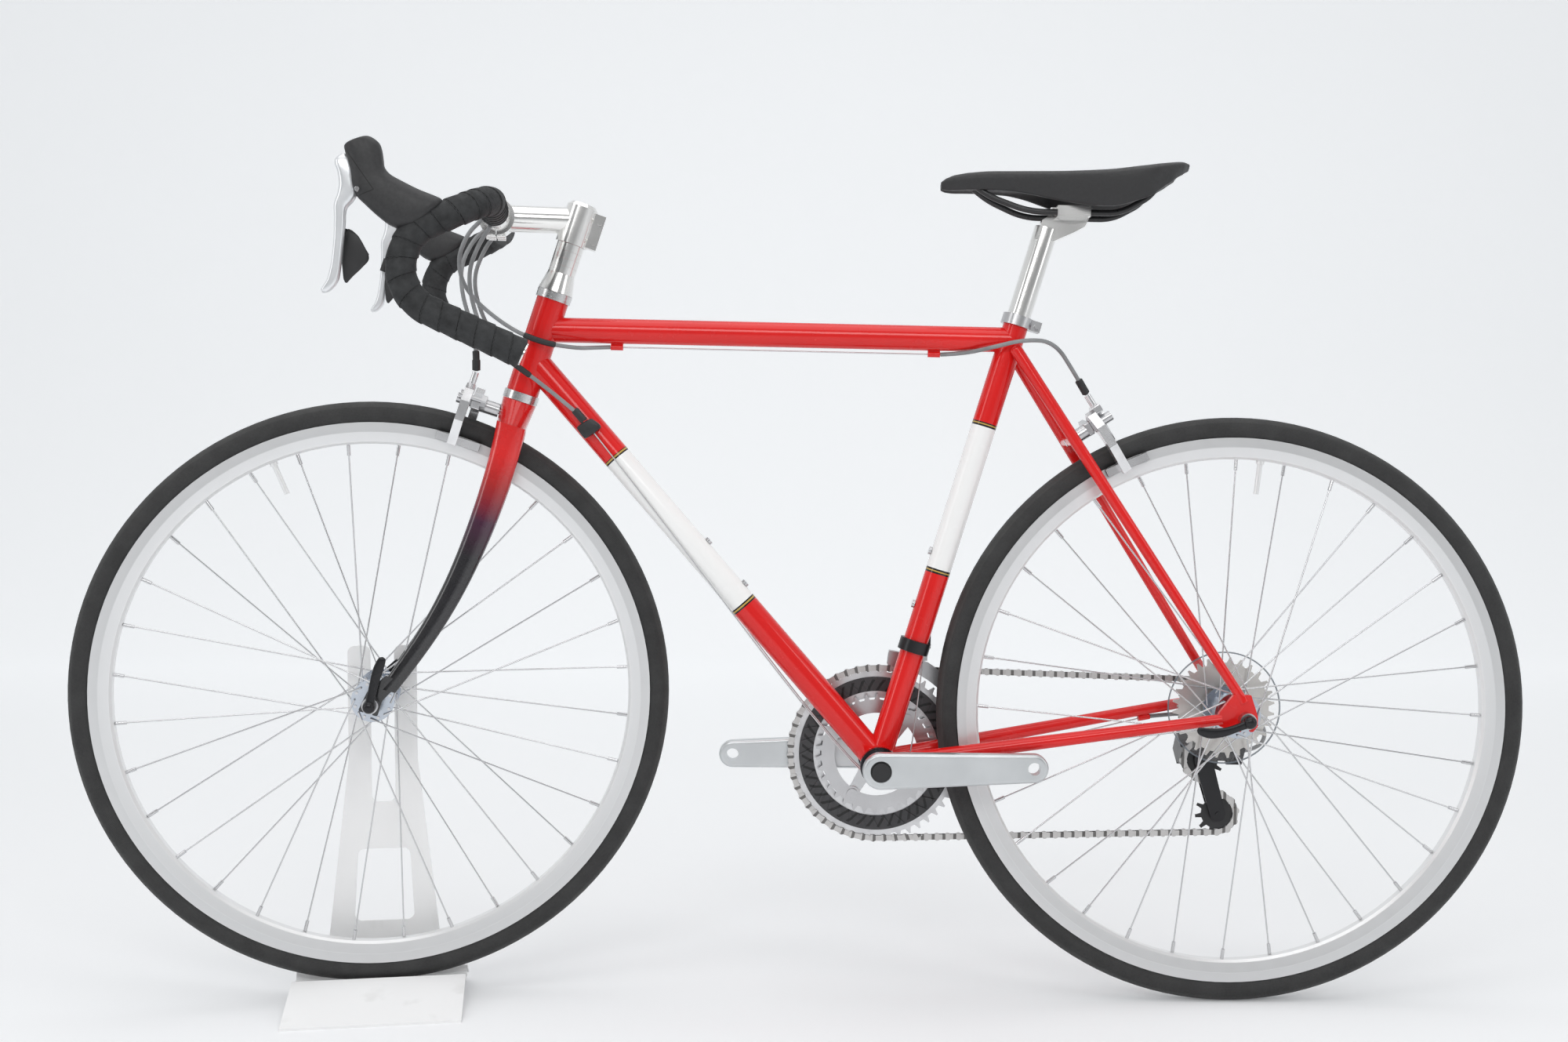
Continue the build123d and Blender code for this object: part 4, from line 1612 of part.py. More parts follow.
def shift_cable_front(side):
    """A shift housing from the bar to its adjuster on the down tube, then the wire below the tube."""
    c = BAR_CENTRE
    a, b = DOWN_TUBE_ENDS
    along = (b - a).normalized()
    at = a + along * ADJUSTER_ALONG + Vector(0, side * ADJUSTER_Y, 0)
    top = at + along * (ADJUSTER_LENGTH / 2 + HOUSING_GAP)
    exit_z = c.Z - BAR_EXIT
    points = [at_fork(c.X, side * (TAPE_START - REST_GAP), exit_z),
              at_fork(c.X, side * (TAPE_START - BAR_RUN), exit_z), at_fork(-94, side * 49, 142),
              at_fork(-96, side * 52, 108), at_fork(-78, side * 49, 76), at_fork(-48, side * 43, 46),
              top + along * 36 + Vector(0, side * 9, 6), top]
    low = BB.Z - BB_SHELL_RADIUS - GUIDE_PLATE_THICK - WIRE_RADIUS - 2 * REST_GAP
    guide = Vector(BB.X - 21, side * 8, low)
    wire = [at + along * ADJUSTER_LENGTH / 2, at - along * 40, guide]
    return cable(points, HOUSING_RADIUS), wire


def shift_cables():
    """Both shift cables: housings at the bar, wires under the down tube, and the loop to the rear mech."""
    left, left_wire = shift_cable_front(-1)
    right, right_wire = shift_cable_front(1)
    low = right_wire[-1].Z
    a, b = stop_ends()
    along = (b - a).normalized()
    right_wire += [Vector(BB.X + 21, 11, low), a - along * 20, b - along * TAPE_FIT]
    left_wire += [Vector(BB.X + 21, -5, low), Vector(BB.X + 36, -3, low + 22), Vector(BB.X + 44, 4, BB.Z + 62),
                  Vector(FRONT_PIN.X + 4, 22, FRONT_PIN.Z - 24)]
    web = MECH.origin.X + LINK_END + 9 + CABLE_GAP
    start = b + along * HOUSING_GAP
    loop = [start, start + along * 32 + Vector(0, 5, -3), REAR_AXLE + Vector(-12, 79.5, -17),
            REAR_AXLE + Vector(25, 86, -16), REAR_AXLE + Vector(58, 89, -18), REAR_AXLE + Vector(72, 89, -40),
            REAR_AXLE + Vector(62, 87, -59), Vector(web, 85, REAR_AXLE.Z - 62)]
    return group(left, right, cable(left_wire, WIRE_RADIUS), cable(right_wire, WIRE_RADIUS),
                 cable(loop, HOUSING_RADIUS))


def steered_pieces():
    """Pieces that turn with the fork, in the level bicycle with the fork straight."""
    front_wheel_at = Pos(FRONT_AXLE) * spin(FRONT_WHEEL_TURN)
    axle_at = Pos(-RAKE, 0, -FORK_LENGTH)
    end = FRONT_DROPOUT_INNER - LOCKNUT_THICK - HUB_END_GAP
    lever, paddle = brake_lever(), shift_paddle()
    in_fork = {
        "fork": fork(), "headset_spacers": headset_spacers(), "stem": stem(),
        "stem_faceplate": stem_faceplate(), "handlebar": handlebar(), "bar_tape": bar_tape(),
        "lever_hoods": lever_hoods(), "front_brake_cable": front_brake_cable(),
        "fork_fittings": group(axle_at * axle(FRONT_DROPOUT_INNER), FRONT_BRAKE.location * brake_bolts()),
        "front_quick_release_lever": axle_at * spin(90) * quick_lever(FRONT_DROPOUT_INNER),
        "right_brake_lever": lever, "left_brake_lever": mirror(lever, Plane.XZ),
        "right_shift_paddle": paddle, "left_shift_paddle": mirror(paddle, Plane.XZ),
        "front_brake_right_arm": FRONT_BRAKE.location * centre_arm(FRONT_REACH, FRONT_LEAN),
        "front_brake_left_arm": FRONT_BRAKE.location * barrel_arm(FRONT_REACH, FRONT_LEAN)}
    made = {name: FORK.location * shape for name, shape in in_fork.items()}
    made["front_tyre"] = front_wheel_at * tyre()
    made["front_rim"] = front_wheel_at * rim(FRONT_VALVE_ANGLE)
    made["front_spokes"] = front_wheel_at * spokes(-FRONT_FLANGE_Y, FRONT_FLANGE_Y, FRONT_FLANGE_HOLES)
    made["front_hub"] = front_wheel_at * hub(-FRONT_FLANGE_Y, FRONT_FLANGE_Y, FRONT_FLANGE_HOLES,
                                             FRONT_BARREL_RADIUS, -end, end)
    return made


def straight_pieces():
    """Pieces carried by the frame, in the level bicycle."""
    at = Pos(REAR_AXLE)
    left_end = -(REAR_DROPOUT_INNER - LOCKNUT_THICK - HUB_END_GAP)
    right_end = cog_y(len(COGS) - 1) - HUB_END_GAP
    flanges = (REAR_FLANGE_LEFT_Y, REAR_FLANGE_RIGHT_Y, REAR_FLANGE_HOLES)
    return {
        "head_tube": head_tube(), "top_tube": top_tube(), "down_tube": down_tube(), "seat_tube": seat_tube(),
        "bottom_bracket_shell": bottom_bracket_shell(), "chainstays": chainstays(), "seatstays": seatstays(),
        "bearing_cups": bearing_cups(),
        "frame_bolts": group(frame_bolts(), REAR_BRAKE.location * brake_bolts()),
        "front_mech_clamp": front_mech_clamp(), "rear_mech_bracket": rear_mech_bracket(),
        "rear_axle": at * axle(REAR_DROPOUT_INNER), "rear_brake_cable": rear_brake_cable(),
        "shift_cables": shift_cables(),
        "rear_quick_release_lever": at * spin(180) * quick_lever(REAR_DROPOUT_INNER),
        "rear_brake_left_arm": REAR_BRAKE.location * centre_arm(REAR_REACH, REAR_LEAN),
        "rear_brake_right_arm": REAR_BRAKE.location * barrel_arm(REAR_REACH, REAR_LEAN),
        "rear_tyre": at * tyre(), "rear_rim": at * rim(REAR_VALVE_ANGLE), "rear_spokes": at * spokes(*flanges),
        "rear_hub": at * hub(*flanges, REAR_BARREL_RADIUS, left_end, right_end),
        "spoke_disc": at * spoke_disc(), "cassette": cassette(),
        "cranks": group(right_crank(), left_crank()), "big_chainring": big_chainring(),
        "small_chainring": small_chainring(), "chain": chain(),
        "rear_mech_outer_link": mech_link(LINK_SPACING / 2), "rear_mech_inner_link": mech_link(-LINK_SPACING / 2),
        "rear_mech_knuckle": rear_mech_knuckle(), "rear_mech_cage": rear_mech_cage(),
        "guide_pulley": pulley(GUIDE), "tension_pulley": pulley(TENSION),
        "front_mech_link": front_mech_link(), "front_mech_cage": front_mech_cage(),
        "seatpost": seatpost(), "saddle_clamp": saddle_clamp(), "saddle_rails": saddle_rails(),
        "saddle_cover": saddle_cover()}


def assembled():
    """Every piece in its place, with the origin on the floor below the middle of the whole."""
    placed = {name: TIPPED * STEERED * shape for name, shape in steered_pieces().items()}
    placed.update({name: TIPPED * shape for name, shape in straight_pieces().items()})
    placed["stand"] = stand()
    boxes = [shape.bounding_box() for shape in placed.values()]
    x = (min(box.min.X for box in boxes) + max(box.max.X for box in boxes)) / 2
    y = (min(box.min.Y for box in boxes) + max(box.max.Y for box in boxes)) / 2
    shift = Pos(-x, -y, 0)
    return {name: shift * shape for name, shape in placed.items()}


def main():
    os.makedirs("parts", exist_ok=True)
    for name, shape in assembled().items():
        export_step(shape, f"parts/{name}.step")


if __name__ == "__main__":
    main()
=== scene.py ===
import math

import bmesh
import bpy
import numpy as np
from bpy.props import FloatProperty, FloatVectorProperty, IntProperty, PointerProperty
from mathutils import Matrix, Vector


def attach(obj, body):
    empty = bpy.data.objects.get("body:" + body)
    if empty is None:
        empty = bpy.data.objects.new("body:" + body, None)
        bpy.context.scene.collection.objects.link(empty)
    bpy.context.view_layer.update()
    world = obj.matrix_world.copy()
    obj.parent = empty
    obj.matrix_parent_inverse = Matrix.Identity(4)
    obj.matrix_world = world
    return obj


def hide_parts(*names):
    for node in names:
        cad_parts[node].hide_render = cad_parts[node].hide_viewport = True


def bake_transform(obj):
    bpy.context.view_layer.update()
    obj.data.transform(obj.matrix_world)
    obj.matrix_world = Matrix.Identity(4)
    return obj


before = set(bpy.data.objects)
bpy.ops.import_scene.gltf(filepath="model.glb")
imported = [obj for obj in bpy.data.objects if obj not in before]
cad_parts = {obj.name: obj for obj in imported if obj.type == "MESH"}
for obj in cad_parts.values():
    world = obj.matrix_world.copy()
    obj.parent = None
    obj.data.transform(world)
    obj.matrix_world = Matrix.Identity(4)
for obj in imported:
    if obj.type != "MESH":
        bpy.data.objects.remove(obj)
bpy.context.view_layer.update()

bl_info = {
    "name": "Bicycle on stand",
    "version": (1, 0, 0),
    "blender": (4, 5, 0),
    "location": "3D View > Sidebar > Bicycle",
    "description": "Paint, tape, saddle, cables and studio for a drop-bar bicycle held in a sheet stand",
    "category": "Object",
}

MM = 0.001

# Where the bicycle's own frames lie, in millimetres. The level bicycle has X to the rear, Y to the drive side and Z up.
HEAD_ANGLE = math.radians(72.5)
SEAT_ANGLE = math.radians(73.7)
STEER = math.radians(8.9)
NOSE_UP = math.radians(1.15)
WHEEL_RADIUS = 336.0
HALF_WHEELBASE = 490.0
CHAINSTAY = 407.0
BRACKET_DROP = 66.0
RAKE = 50.0
FORK_LENGTH = 382.0
DOWN_TUBE_RISE = 40.0
SEAT_TUBE_LENGTH = 534.0
REAR_AXLE = np.array([HALF_WHEELBASE, 0.0, WHEEL_RADIUS])
FRONT_AXLE = np.array([-HALF_WHEELBASE, 0.0, WHEEL_RADIUS])
BOTTOM_BRACKET = np.array([HALF_WHEELBASE - math.sqrt(CHAINSTAY**2 - BRACKET_DROP**2), 0.0,
                           WHEEL_RADIUS - BRACKET_DROP])
HEAD_DIR = np.array([math.cos(HEAD_ANGLE), 0.0, math.sin(HEAD_ANGLE)])
HEAD_SIDE = np.array([math.sin(HEAD_ANGLE), 0.0, -math.cos(HEAD_ANGLE)])
HEAD_BOTTOM = FRONT_AXLE + HEAD_SIDE * RAKE + HEAD_DIR * FORK_LENGTH
SEAT_DIR = np.array([math.cos(SEAT_ANGLE), 0.0, math.sin(SEAT_ANGLE)])
DOWN_TUBE_TOP = HEAD_BOTTOM + HEAD_DIR * DOWN_TUBE_RISE
TILT = np.array([294.0, 0.0, BOTTOM_BRACKET[2] + 641.0])
SHIFT = np.array([-2.12844, 17.6419, 0.0])
ACROSS = np.array([0.0, 1.0, 0.0])


def unit(way):
    """A direction made one long."""
    return way / np.linalg.norm(way)


def turned(axis, angle):
    """4x4 turn about an axis through the origin: Rodrigues' formula."""
    x, y, z = axis
    cross = np.array([[0, -z, y], [z, 0, -x], [-y, x, 0]])
    made = np.eye(4)
    made[:3, :3] = np.eye(3) + math.sin(angle) * cross + (1 - math.cos(angle)) * cross @ cross
    return made


def moved(point):
    """4x4 shift by a point."""
    made = np.eye(4)
    made[:3, 3] = point
    return made


def plane(origin, x_dir, z_dir):
    """4x4 frame with the given origin, x and z directions."""
    made = np.eye(4)
    made[:3, 0], made[:3, 2] = x_dir, z_dir
    made[:3, 1] = np.cross(z_dir, x_dir)
    made[:3, 3] = origin
    return made


LEVEL = moved(SHIFT) @ moved(REAR_AXLE) @ turned(ACROSS, NOSE_UP) @ moved(-REAR_AXLE)
STEERED = LEVEL @ moved(HEAD_BOTTOM) @ turned(HEAD_DIR, STEER) @ moved(-HEAD_BOTTOM)
FORK = STEERED @ plane(HEAD_BOTTOM, HEAD_SIDE, HEAD_DIR)


def tube_frame(start, end):
    """Frame of a straight tube in the middle plane: origin at its start, z along it."""
    along = unit(end - start)
    return LEVEL @ plane(start, np.array([along[2], 0.0, -along[0]]), along)


FRONT_WHEEL = STEERED @ moved(FRONT_AXLE)
REAR_WHEEL = LEVEL @ moved(REAR_AXLE)
CRANKS = LEVEL @ moved(BOTTOM_BRACKET)
DOWN_TUBE = tube_frame(BOTTOM_BRACKET, DOWN_TUBE_TOP)
SEAT_TUBE = tube_frame(BOTTOM_BRACKET, BOTTOM_BRACKET + SEAT_DIR * SEAT_TUBE_LENGTH)
SADDLE = LEVEL @ moved(TILT)
# The brakes' frames at their bolts, and how far the shoes sit below them.
FRONT_BRAKE = FORK @ plane(np.array([-18.6, 0.0, -28.0]), np.array([-1.0, 0, 0]), np.array([0, 0, 1.0]))
REAR_BRAKE = LEVEL @ plane(np.array([305.261, 0.0, 645.296]), np.array([0.8365, 0, 0.548]),
                           np.array([-0.548, 0, 0.8365]))
FRONT_BRAKE_REACH = 46.5
REAR_BRAKE_REACH = 56.14


def to_row(place, points):
    """Points in millimetres of a frame, as metres in the row frame."""
    points = np.asarray(points, float)
    return (points @ place[:3, :3].T + place[:3, 3]) * MM


def to_matrix(place):
    """A frame in millimetres as a Blender matrix in metres."""
    made = Matrix(place.tolist())
    made.translation = made.translation * MM
    return made


# Grids and meshes


def quads(rows, columns, wrap):
    """Faces of a grid of rows by columns; with wrap, the last column meets the first."""
    across = columns if wrap else columns - 1
    row, column = np.meshgrid(np.arange(rows - 1), np.arange(across), indexing="ij")
    here, there = row * columns + column, row * columns + (column + 1) % columns
    return np.stack([here, there, there + columns, here + columns], -1).reshape(-1, 4)


def grid_mesh(name, grids, wrap=True, caps=True, sharp=60.0):
    """One mesh object from grids of points (rows, columns, 3). Wrap joins each row to a ring, caps close the ends."""
    points, faces, start = [], [], 0
    for grid in grids:
        rows, columns = grid.shape[:2]
        points.append(grid.reshape(-1, 3))
        faces += (quads(rows, columns, wrap) + start).tolist()
        if caps:
            faces.append((np.arange(columns)[::-1] + start).tolist())
            faces.append((np.arange(columns) + start + (rows - 1) * columns).tolist())
        start += rows * columns
    mesh = bpy.data.meshes.new(name)
    mesh.from_pydata(np.concatenate(points), [], faces)
    mesh.validate()
    mesh.polygons.foreach_set("use_smooth", np.ones(len(mesh.polygons), bool))
    mesh.set_sharp_from_angle(angle=math.radians(sharp))
    made = bpy.data.objects.new(name, mesh)
    bpy.context.scene.collection.objects.link(made)
    return made


def face_outwards(made):
    """Turns each closed shell's faces outwards."""
    shell = bmesh.new()
    shell.from_mesh(made.data)
    bmesh.ops.recalc_face_normals(shell, faces=shell.faces)
    shell.to_mesh(made.data)
    shell.free()
    return made


def shell(name, grids, sharp=60.0):
    """A mesh object of closed shells, one from each grid, with its faces turned outwards."""
    return face_outwards(grid_mesh(name, grids, sharp=sharp))


def run_of(path):
    """Length along a path at each of its points."""
    return np.concatenate([[0], np.cumsum(np.linalg.norm(np.diff(path, axis=0), axis=1))])


def at_lengths(path, lengths):
    """Points of a path at lengths along it, straight between the path's own points."""
    run = run_of(path)
    return np.stack([np.interp(lengths, run, path[:, axis]) for axis in range(3)], 1)


def directions(path):
    """Unit directions along a path of points, by central differences."""
    along = np.gradient(path, axis=0)
    return along / np.linalg.norm(along, axis=1, keepdims=True)


OFF_AXIS = (0.31, 0.23, 0.92)


def tube(path, radius, sides, reference=OFF_AXIS):
    """Round tube: path point plus radius times cos and sin of the angle on two normals.

    The first normal is the reference direction less its part along the path. The radius may be one
    number, one for each path point or one for each path point and angle.
    """
    along = directions(path)
    reference = np.asarray(reference, float)
    first = reference - (along @ reference)[:, None] * along
    first /= np.linalg.norm(first, axis=1, keepdims=True)
    second = np.cross(along, first)
    angle = np.arange(sides) * 2 * math.pi / sides
    radius = np.asarray(radius, float)
    radius = radius[:, None] if radius.ndim == 1 else radius
    ring = np.broadcast_to(radius, (len(path), sides))[..., None]
    return path[:, None] + ring * (np.cos(angle)[:, None] * first[:, None] + np.sin(angle)[:, None] * second[:, None])


def smooth(stations, count):
    """Rows of numbers eased along their index: cubic Hermite curves with central slopes."""
    stations = np.asarray(stations, float)
    slopes = np.gradient(stations, axis=0)
    at = np.linspace(0, len(stations) - 1, count)
    low = np.minimum(at.astype(int), len(stations) - 2)
    t = (at - low)[:, None]
    a, b, da, db = stations[low], stations[low + 1], slopes[low], slopes[low + 1]
    return ((2 * t**3 - 3 * t**2 + 1) * a + (t**3 - 2 * t**2 + t) * da
            + (3 * t**2 - 2 * t**3) * b + (t**3 - t**2) * db)


def rounded_ends(rows, share):
    """Scale of each row, 0 at both ends rising to 1 along quarter ellipses that take this share of the rows."""
    u = np.linspace(0, 1, rows)
    near = np.minimum(u, 1 - u) / share
    return np.sqrt(np.clip(1 - np.clip(1 - near, 0, 1) ** 2, 0, 1))


# Materials


class Finish:
    """A material's node tree, with short calls that add nodes and join sockets."""

    def __init__(self, name):
        self.material = bpy.data.materials.new(name)
        self.material.use_nodes = True
        self.tree = self.material.node_tree
        self.shader = self.tree.nodes["Principled BSDF"]
        self.place = self.add("TexCoord").outputs["Object"]

    def join(self, socket, value):
        """Links an output to a socket, or sets the socket's own value."""
        if isinstance(value, bpy.types.NodeSocket):
            self.tree.links.new(value, socket)
        elif socket.type == "RGBA" and len(value) == 3:
            socket.default_value = (*value, 1.0)
        else:
            socket.default_value = value

    def add(self, kind, **sockets):
        """A new shader node, with its named sockets joined."""
        made = self.tree.nodes.new("ShaderNode" + kind)
        for name, value in sockets.items():
            self.join(made.inputs[name], value)
        return made

    def shine(self, **values):
        """Sets sockets of the shader, named with underscores."""
        for key, value in values.items():
            self.join(self.shader.inputs[key.replace("_", " ").title().replace("Ior", "IOR")], value)
        return self

    def math(self, operation, *values):
        """One of the Math node's operations on values or outputs."""
        made = self.add("Math")
        made.operation = operation
        for socket, value in zip(made.inputs, values):
            self.join(socket, value)
        return made.outputs[0]

    def times(self, a, b):
        """Product of two values."""
        return self.math("MULTIPLY", a, b)

    def plus(self, a, b):
        """Sum of two values."""
        return self.math("ADD", a, b)

    def rest(self, share):
        """What a share leaves of 1."""
        return self.math("SUBTRACT", 1.0, share)

    def below(self, value, limit):
        """1 where a value is under a limit, else 0."""
        return self.math("LESS_THAN", value, limit)

    def above(self, value, limit):
        """1 where a value is over a limit, else 0."""
        return self.math("GREATER_THAN", value, limit)

    def between(self, value, low, high):
        """1 where a value lies between two numbers, else 0."""
        return self.times(self.above(value, low), self.below(value, high))

    def mix(self, share, a, b):
        """Colour a where share is 0 and b where it is 1."""
        made = self.add("Mix")
        made.data_type = "RGBA"
        for index, value in ((0, share), (6, a), (7, b)):
            self.join(made.inputs[index], value)
        return made.outputs[2]

    def range(self, value, low, high, to_low=0.0, to_high=1.0):
        """A value carried from one range to another, held at the ends."""
        made = self.add("MapRange")
        for index, number in enumerate((value, low, high, to_low, to_high)):
            self.join(made.inputs[index], number)
        return made.outputs[0]

    def noise(self, scale, detail, stretch=None):
        """Noise about a number of cells a metre, drawn out by a stretch in each direction."""
        where = self.add("Mapping", Vector=self.place, Scale=stretch).outputs[0] if stretch else self.place
        return self.add("TexNoise", Vector=where, Scale=scale, Detail=detail).outputs[0]

    def wander(self, scale, detail, low=0.0, high=1.0, edge=0.3):
        """Noise whose middle part, from edge to 1 - edge, is spread from low to high."""
        return self.range(self.noise(scale, detail), edge, 1 - edge, low, high)

    def within(self, place):
        """x, y and z of a bicycle frame, in metres."""
        matrix = to_matrix(place)
        made = self.add("Mapping", Vector=self.place, Location=matrix.translation, Rotation=matrix.to_euler())
        made.vector_type = "TEXTURE"
        return self.add("SeparateXYZ", Vector=made.outputs[0]).outputs

    def radius(self, place):
        """Distance from a frame's Y axis, in metres."""
        x, _, z = self.within(place)
        return self.math("SQRT", self.plus(self.times(x, x), self.times(z, z)))

    def turns(self, x, z, count):
        """Angle about the Y axis, as a count to the full turn."""
        return self.times(self.math("ARCTAN2", z, x), count / (2 * math.pi))

    def ramp(self, value, stops, stepped=False):
        """Colours at places along a value from 0 to 1."""
        made = self.add("ValToRGB")
        self.join(made.inputs[0], value)
        made.color_ramp.interpolation = "CONSTANT" if stepped else "LINEAR"
        points = made.color_ramp.elements
        points.remove(points[1])
        points[0].position, points[0].color = stops[0][0], (*stops[0][1], 1.0)
        for place, colour in stops[1:]:
            points.new(place).color = (*colour, 1.0)
        return made.outputs[0]

    def bump(self, height, distance):
        """Small relief of a height given in metres at height 1."""
        return self.shine(normal=self.add("Bump", Height=height, Distance=distance, Strength=1.0).outputs[0])


def dress(finish, *names):
    """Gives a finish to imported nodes."""
    for name in names:
        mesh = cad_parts[name].data
        mesh.materials.clear()
        mesh.materials.append(finish.material)


def put(made, finish, body, slot, *nodes):
    """Gives a new piece its finish and its body, and hides the nodes it stands for. Its slot is not used."""
    made.data.materials.append(finish.material)
    if nodes:
        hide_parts(*nodes)
    if body:
        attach(made, body)
    return made


# What a user may change


class PaintSettings(bpy.types.PropertyGroup):
    """Colours of the frame and fork, and where the pale panels lie."""

    red: FloatVectorProperty(name="Red", description="Gloss paint of the tubes", subtype="COLOR",
                             default=(0.72, 0.011, 0.010), min=0, max=1)
    pale: FloatVectorProperty(name="Panel", description="Pale panels on the down and seat tubes", subtype="COLOR",
                              default=(0.92, 0.92, 0.91), min=0, max=1)
    gold: FloatVectorProperty(name="Line", description="Thin line at each end of a panel", subtype="COLOR",
                              default=(0.55, 0.36, 0.08), min=0, max=1)
    down_start: FloatProperty(name="Down panel start", description="From the bottom bracket up the down tube",
                              default=0.235, unit="LENGTH")
    down_end: FloatProperty(name="Down panel end", description="From the bottom bracket up the down tube",
                            default=0.463, unit="LENGTH")
    seat_start: FloatProperty(name="Seat panel start", description="From the bottom bracket up the seat tube",
                              default=0.226, unit="LENGTH")
    seat_end: FloatProperty(name="Seat panel end", description="From the bottom bracket up the seat tube",
                            default=0.407, unit="LENGTH")


class TapeSettings(bpy.types.PropertyGroup):
    """The wound bar tape."""

    colour: FloatVectorProperty(name="Colour", description="Cork tape", subtype="COLOR",
                                default=(0.026, 0.027, 0.028), min=0, max=1)
    radius: FloatProperty(name="Radius", description="Bar's centre to the low edge of a turn",
                          default=0.0148, unit="LENGTH")
    lap: FloatProperty(name="Lap", description="Rise from a turn's low edge to its high edge",
                       default=0.0010, unit="LENGTH")
    pitch: FloatProperty(name="Pitch", description="Along the bar from one turn to the next",
                         default=0.019, unit="LENGTH")


class CableSettings(bpy.types.PropertyGroup):
    """Housings and bare wires."""

    colour: FloatVectorProperty(name="Housing", description="Colour of the housings", subtype="COLOR",
                                default=(0.23, 0.235, 0.24), min=0, max=1)
    housing: FloatProperty(name="Housing diameter", description="Outside of a housing", default=0.0048, unit="LENGTH")
    wire: FloatProperty(name="Wire diameter", description="Outside of a bare wire", default=0.0016, unit="LENGTH")


class SaddleSettings(bpy.types.PropertyGroup):
    """The saddle's cover."""

    colour: FloatVectorProperty(name="Cover", description="Fine-grained cover", subtype="COLOR",
                                default=(0.024, 0.024, 0.025), min=0, max=1)
    grain: FloatProperty(name="Grain", description="Height of the cover's grain", default=0.00012, unit="LENGTH")
    rows: IntProperty(name="Rows", description="Rings of the cover's mesh from nose to tail", default=90, min=20)


class StageSettings(bpy.types.PropertyGroup):
    """Floor, backdrop and lamps."""

    floor: FloatVectorProperty(name="Floor", description="Floor and backdrop", subtype="COLOR",
                               default=(0.87, 0.875, 0.885), min=0, max=1)
    lamp: FloatProperty(name="Lamp", description="Power of the large lamp above, in watts", default=34.0, min=0)
    sky: FloatProperty(name="Sky", description="Strength of the light from above and behind", default=0.72, min=0)
    near: FloatProperty(name="Near share", description="Share of the sky's strength on the camera's side",
                        default=0.4, min=0, max=1)
    glow: FloatProperty(name="Sheet's own light", description="Light that the sheet shows to the camera by itself",
                        default=0.1, min=0)


# Finishes. Noise is in cells a metre, relief and places are in metres.

BLACK_RESIN = (0.020, 0.020, 0.021)
BRIGHT_STEEL = (0.62, 0.62, 0.63)
METAL_GRAIN = 900.0
RUBBER_GRAIN = 1400.0


def shade(colour, by):
    """A colour made darker or brighter."""
    return tuple(min(1.0, c * by) for c in colour)


def metal(name, colour, rough, metallic=1.0):
    """Metal: clouds of tone, roughness that wanders and a fine grain."""
    made = Finish(name)
    cloud = made.wander(18.0, 2.0, edge=0.25)
    made.shine(base_color=made.mix(cloud, shade(colour, 0.94), shade(colour, 1.04)), metallic=metallic,
               roughness=made.wander(30.0, 2.0, rough - 0.025, rough + 0.025))
    return made.bump(made.noise(METAL_GRAIN, 2.0), 0.0000015)


def moulded(name, colour, rough, relief=0.00004):
    """Moulded plastic or rubber: faint clouds of tone and a fine skin."""
    made = Finish(name)
    made.shine(base_color=made.mix(made.wander(30.0, 4.0), shade(colour, 0.8), shade(colour, 1.25)),
               roughness=made.wander(260.0, 4.0, rough - 0.06, rough + 0.08))
    return made.bump(made.noise(RUBBER_GRAIN, 3.0), relief)


# A panel's lines: the width of the first, where each of the three ends in such widths, and their dark colour.
LINE_WIDTH = 0.0016
LINE_ENDS = (1.0, 2.2, 3.2)
LINE_BLACK = (0.012, 0.012, 0.013)


def gloss_paint(name, settings, place=None, start=0.0, end=0.0):
    """Gloss paint under a clear coat. A tube with a panel turns pale between start and end along it, with
    thin lines of black, gold and black at each end."""
    made = Finish(name)
    colour = made.mix(made.wander(7.0, 2.0, edge=0.35), shade(settings.red, 0.93), shade(settings.red, 1.05))
    if place is not None:
        _, _, z = made.within(place)
        gold, pale = tuple(settings.gold), tuple(settings.pale)
        line = LINE_WIDTH / (end - start)
        first, second, third = (widths * line for widths in LINE_ENDS)
        stops = [(0, LINE_BLACK), (first, gold), (second, LINE_BLACK), (third, pale), (1 - third, LINE_BLACK),
                 (1 - second, gold), (1 - first, LINE_BLACK)]
        stripes = made.ramp(made.range(z, start, end), stops, stepped=True)
        colour = made.mix(made.between(z, start, end), colour, stripes)
    made.shine(base_color=colour, coat_weight=0.6, coat_roughness=0.02, specular_ior_level=0.2,
               roughness=made.wander(60.0, 2.0, 0.24, 0.28))
    return made.bump(made.noise(40.0, 1.0), 0.000006)


# Heights in the fork's frame between which the red fades in, and between which the weave fades out.
FADE_FROM, FADE_TO = -0.36, 0.0
WEAVE_FROM, WEAVE_TO = -0.2, -0.17
WEAVE_CELLS = 420.0


def carbon_fade(settings):
    """Fork: gloss red at the crown that fades through purple into fine-woven carbon below."""
    made = Finish("fork_fade")
    _, _, z = made.within(FORK)
    stops = [(0.0, (0.006, 0.006, 0.007)), (0.46, (0.007, 0.006, 0.009)), (0.58, (0.05, 0.004, 0.03)),
             (0.70, shade(settings.red, 0.55)), (0.80, shade(settings.red, 1.0))]
    fade = made.ramp(made.range(z, FADE_FROM, FADE_TO), stops)
    weave = made.add("TexChecker", Vector=made.place, Scale=WEAVE_CELLS).outputs["Fac"]
    woven = made.mix(made.times(weave, 0.5), fade, made.mix(0.5, fade, (0.022, 0.022, 0.025)))
    lower = made.range(z, WEAVE_FROM, WEAVE_TO)
    made.shine(base_color=made.mix(lower, woven, fade), coat_weight=1.0, coat_roughness=0.02,
               specular_ior_level=0.35, roughness=made.wander(80.0, 3.0, 0.22, 0.34))
    return made.bump(weave, 0.000015)


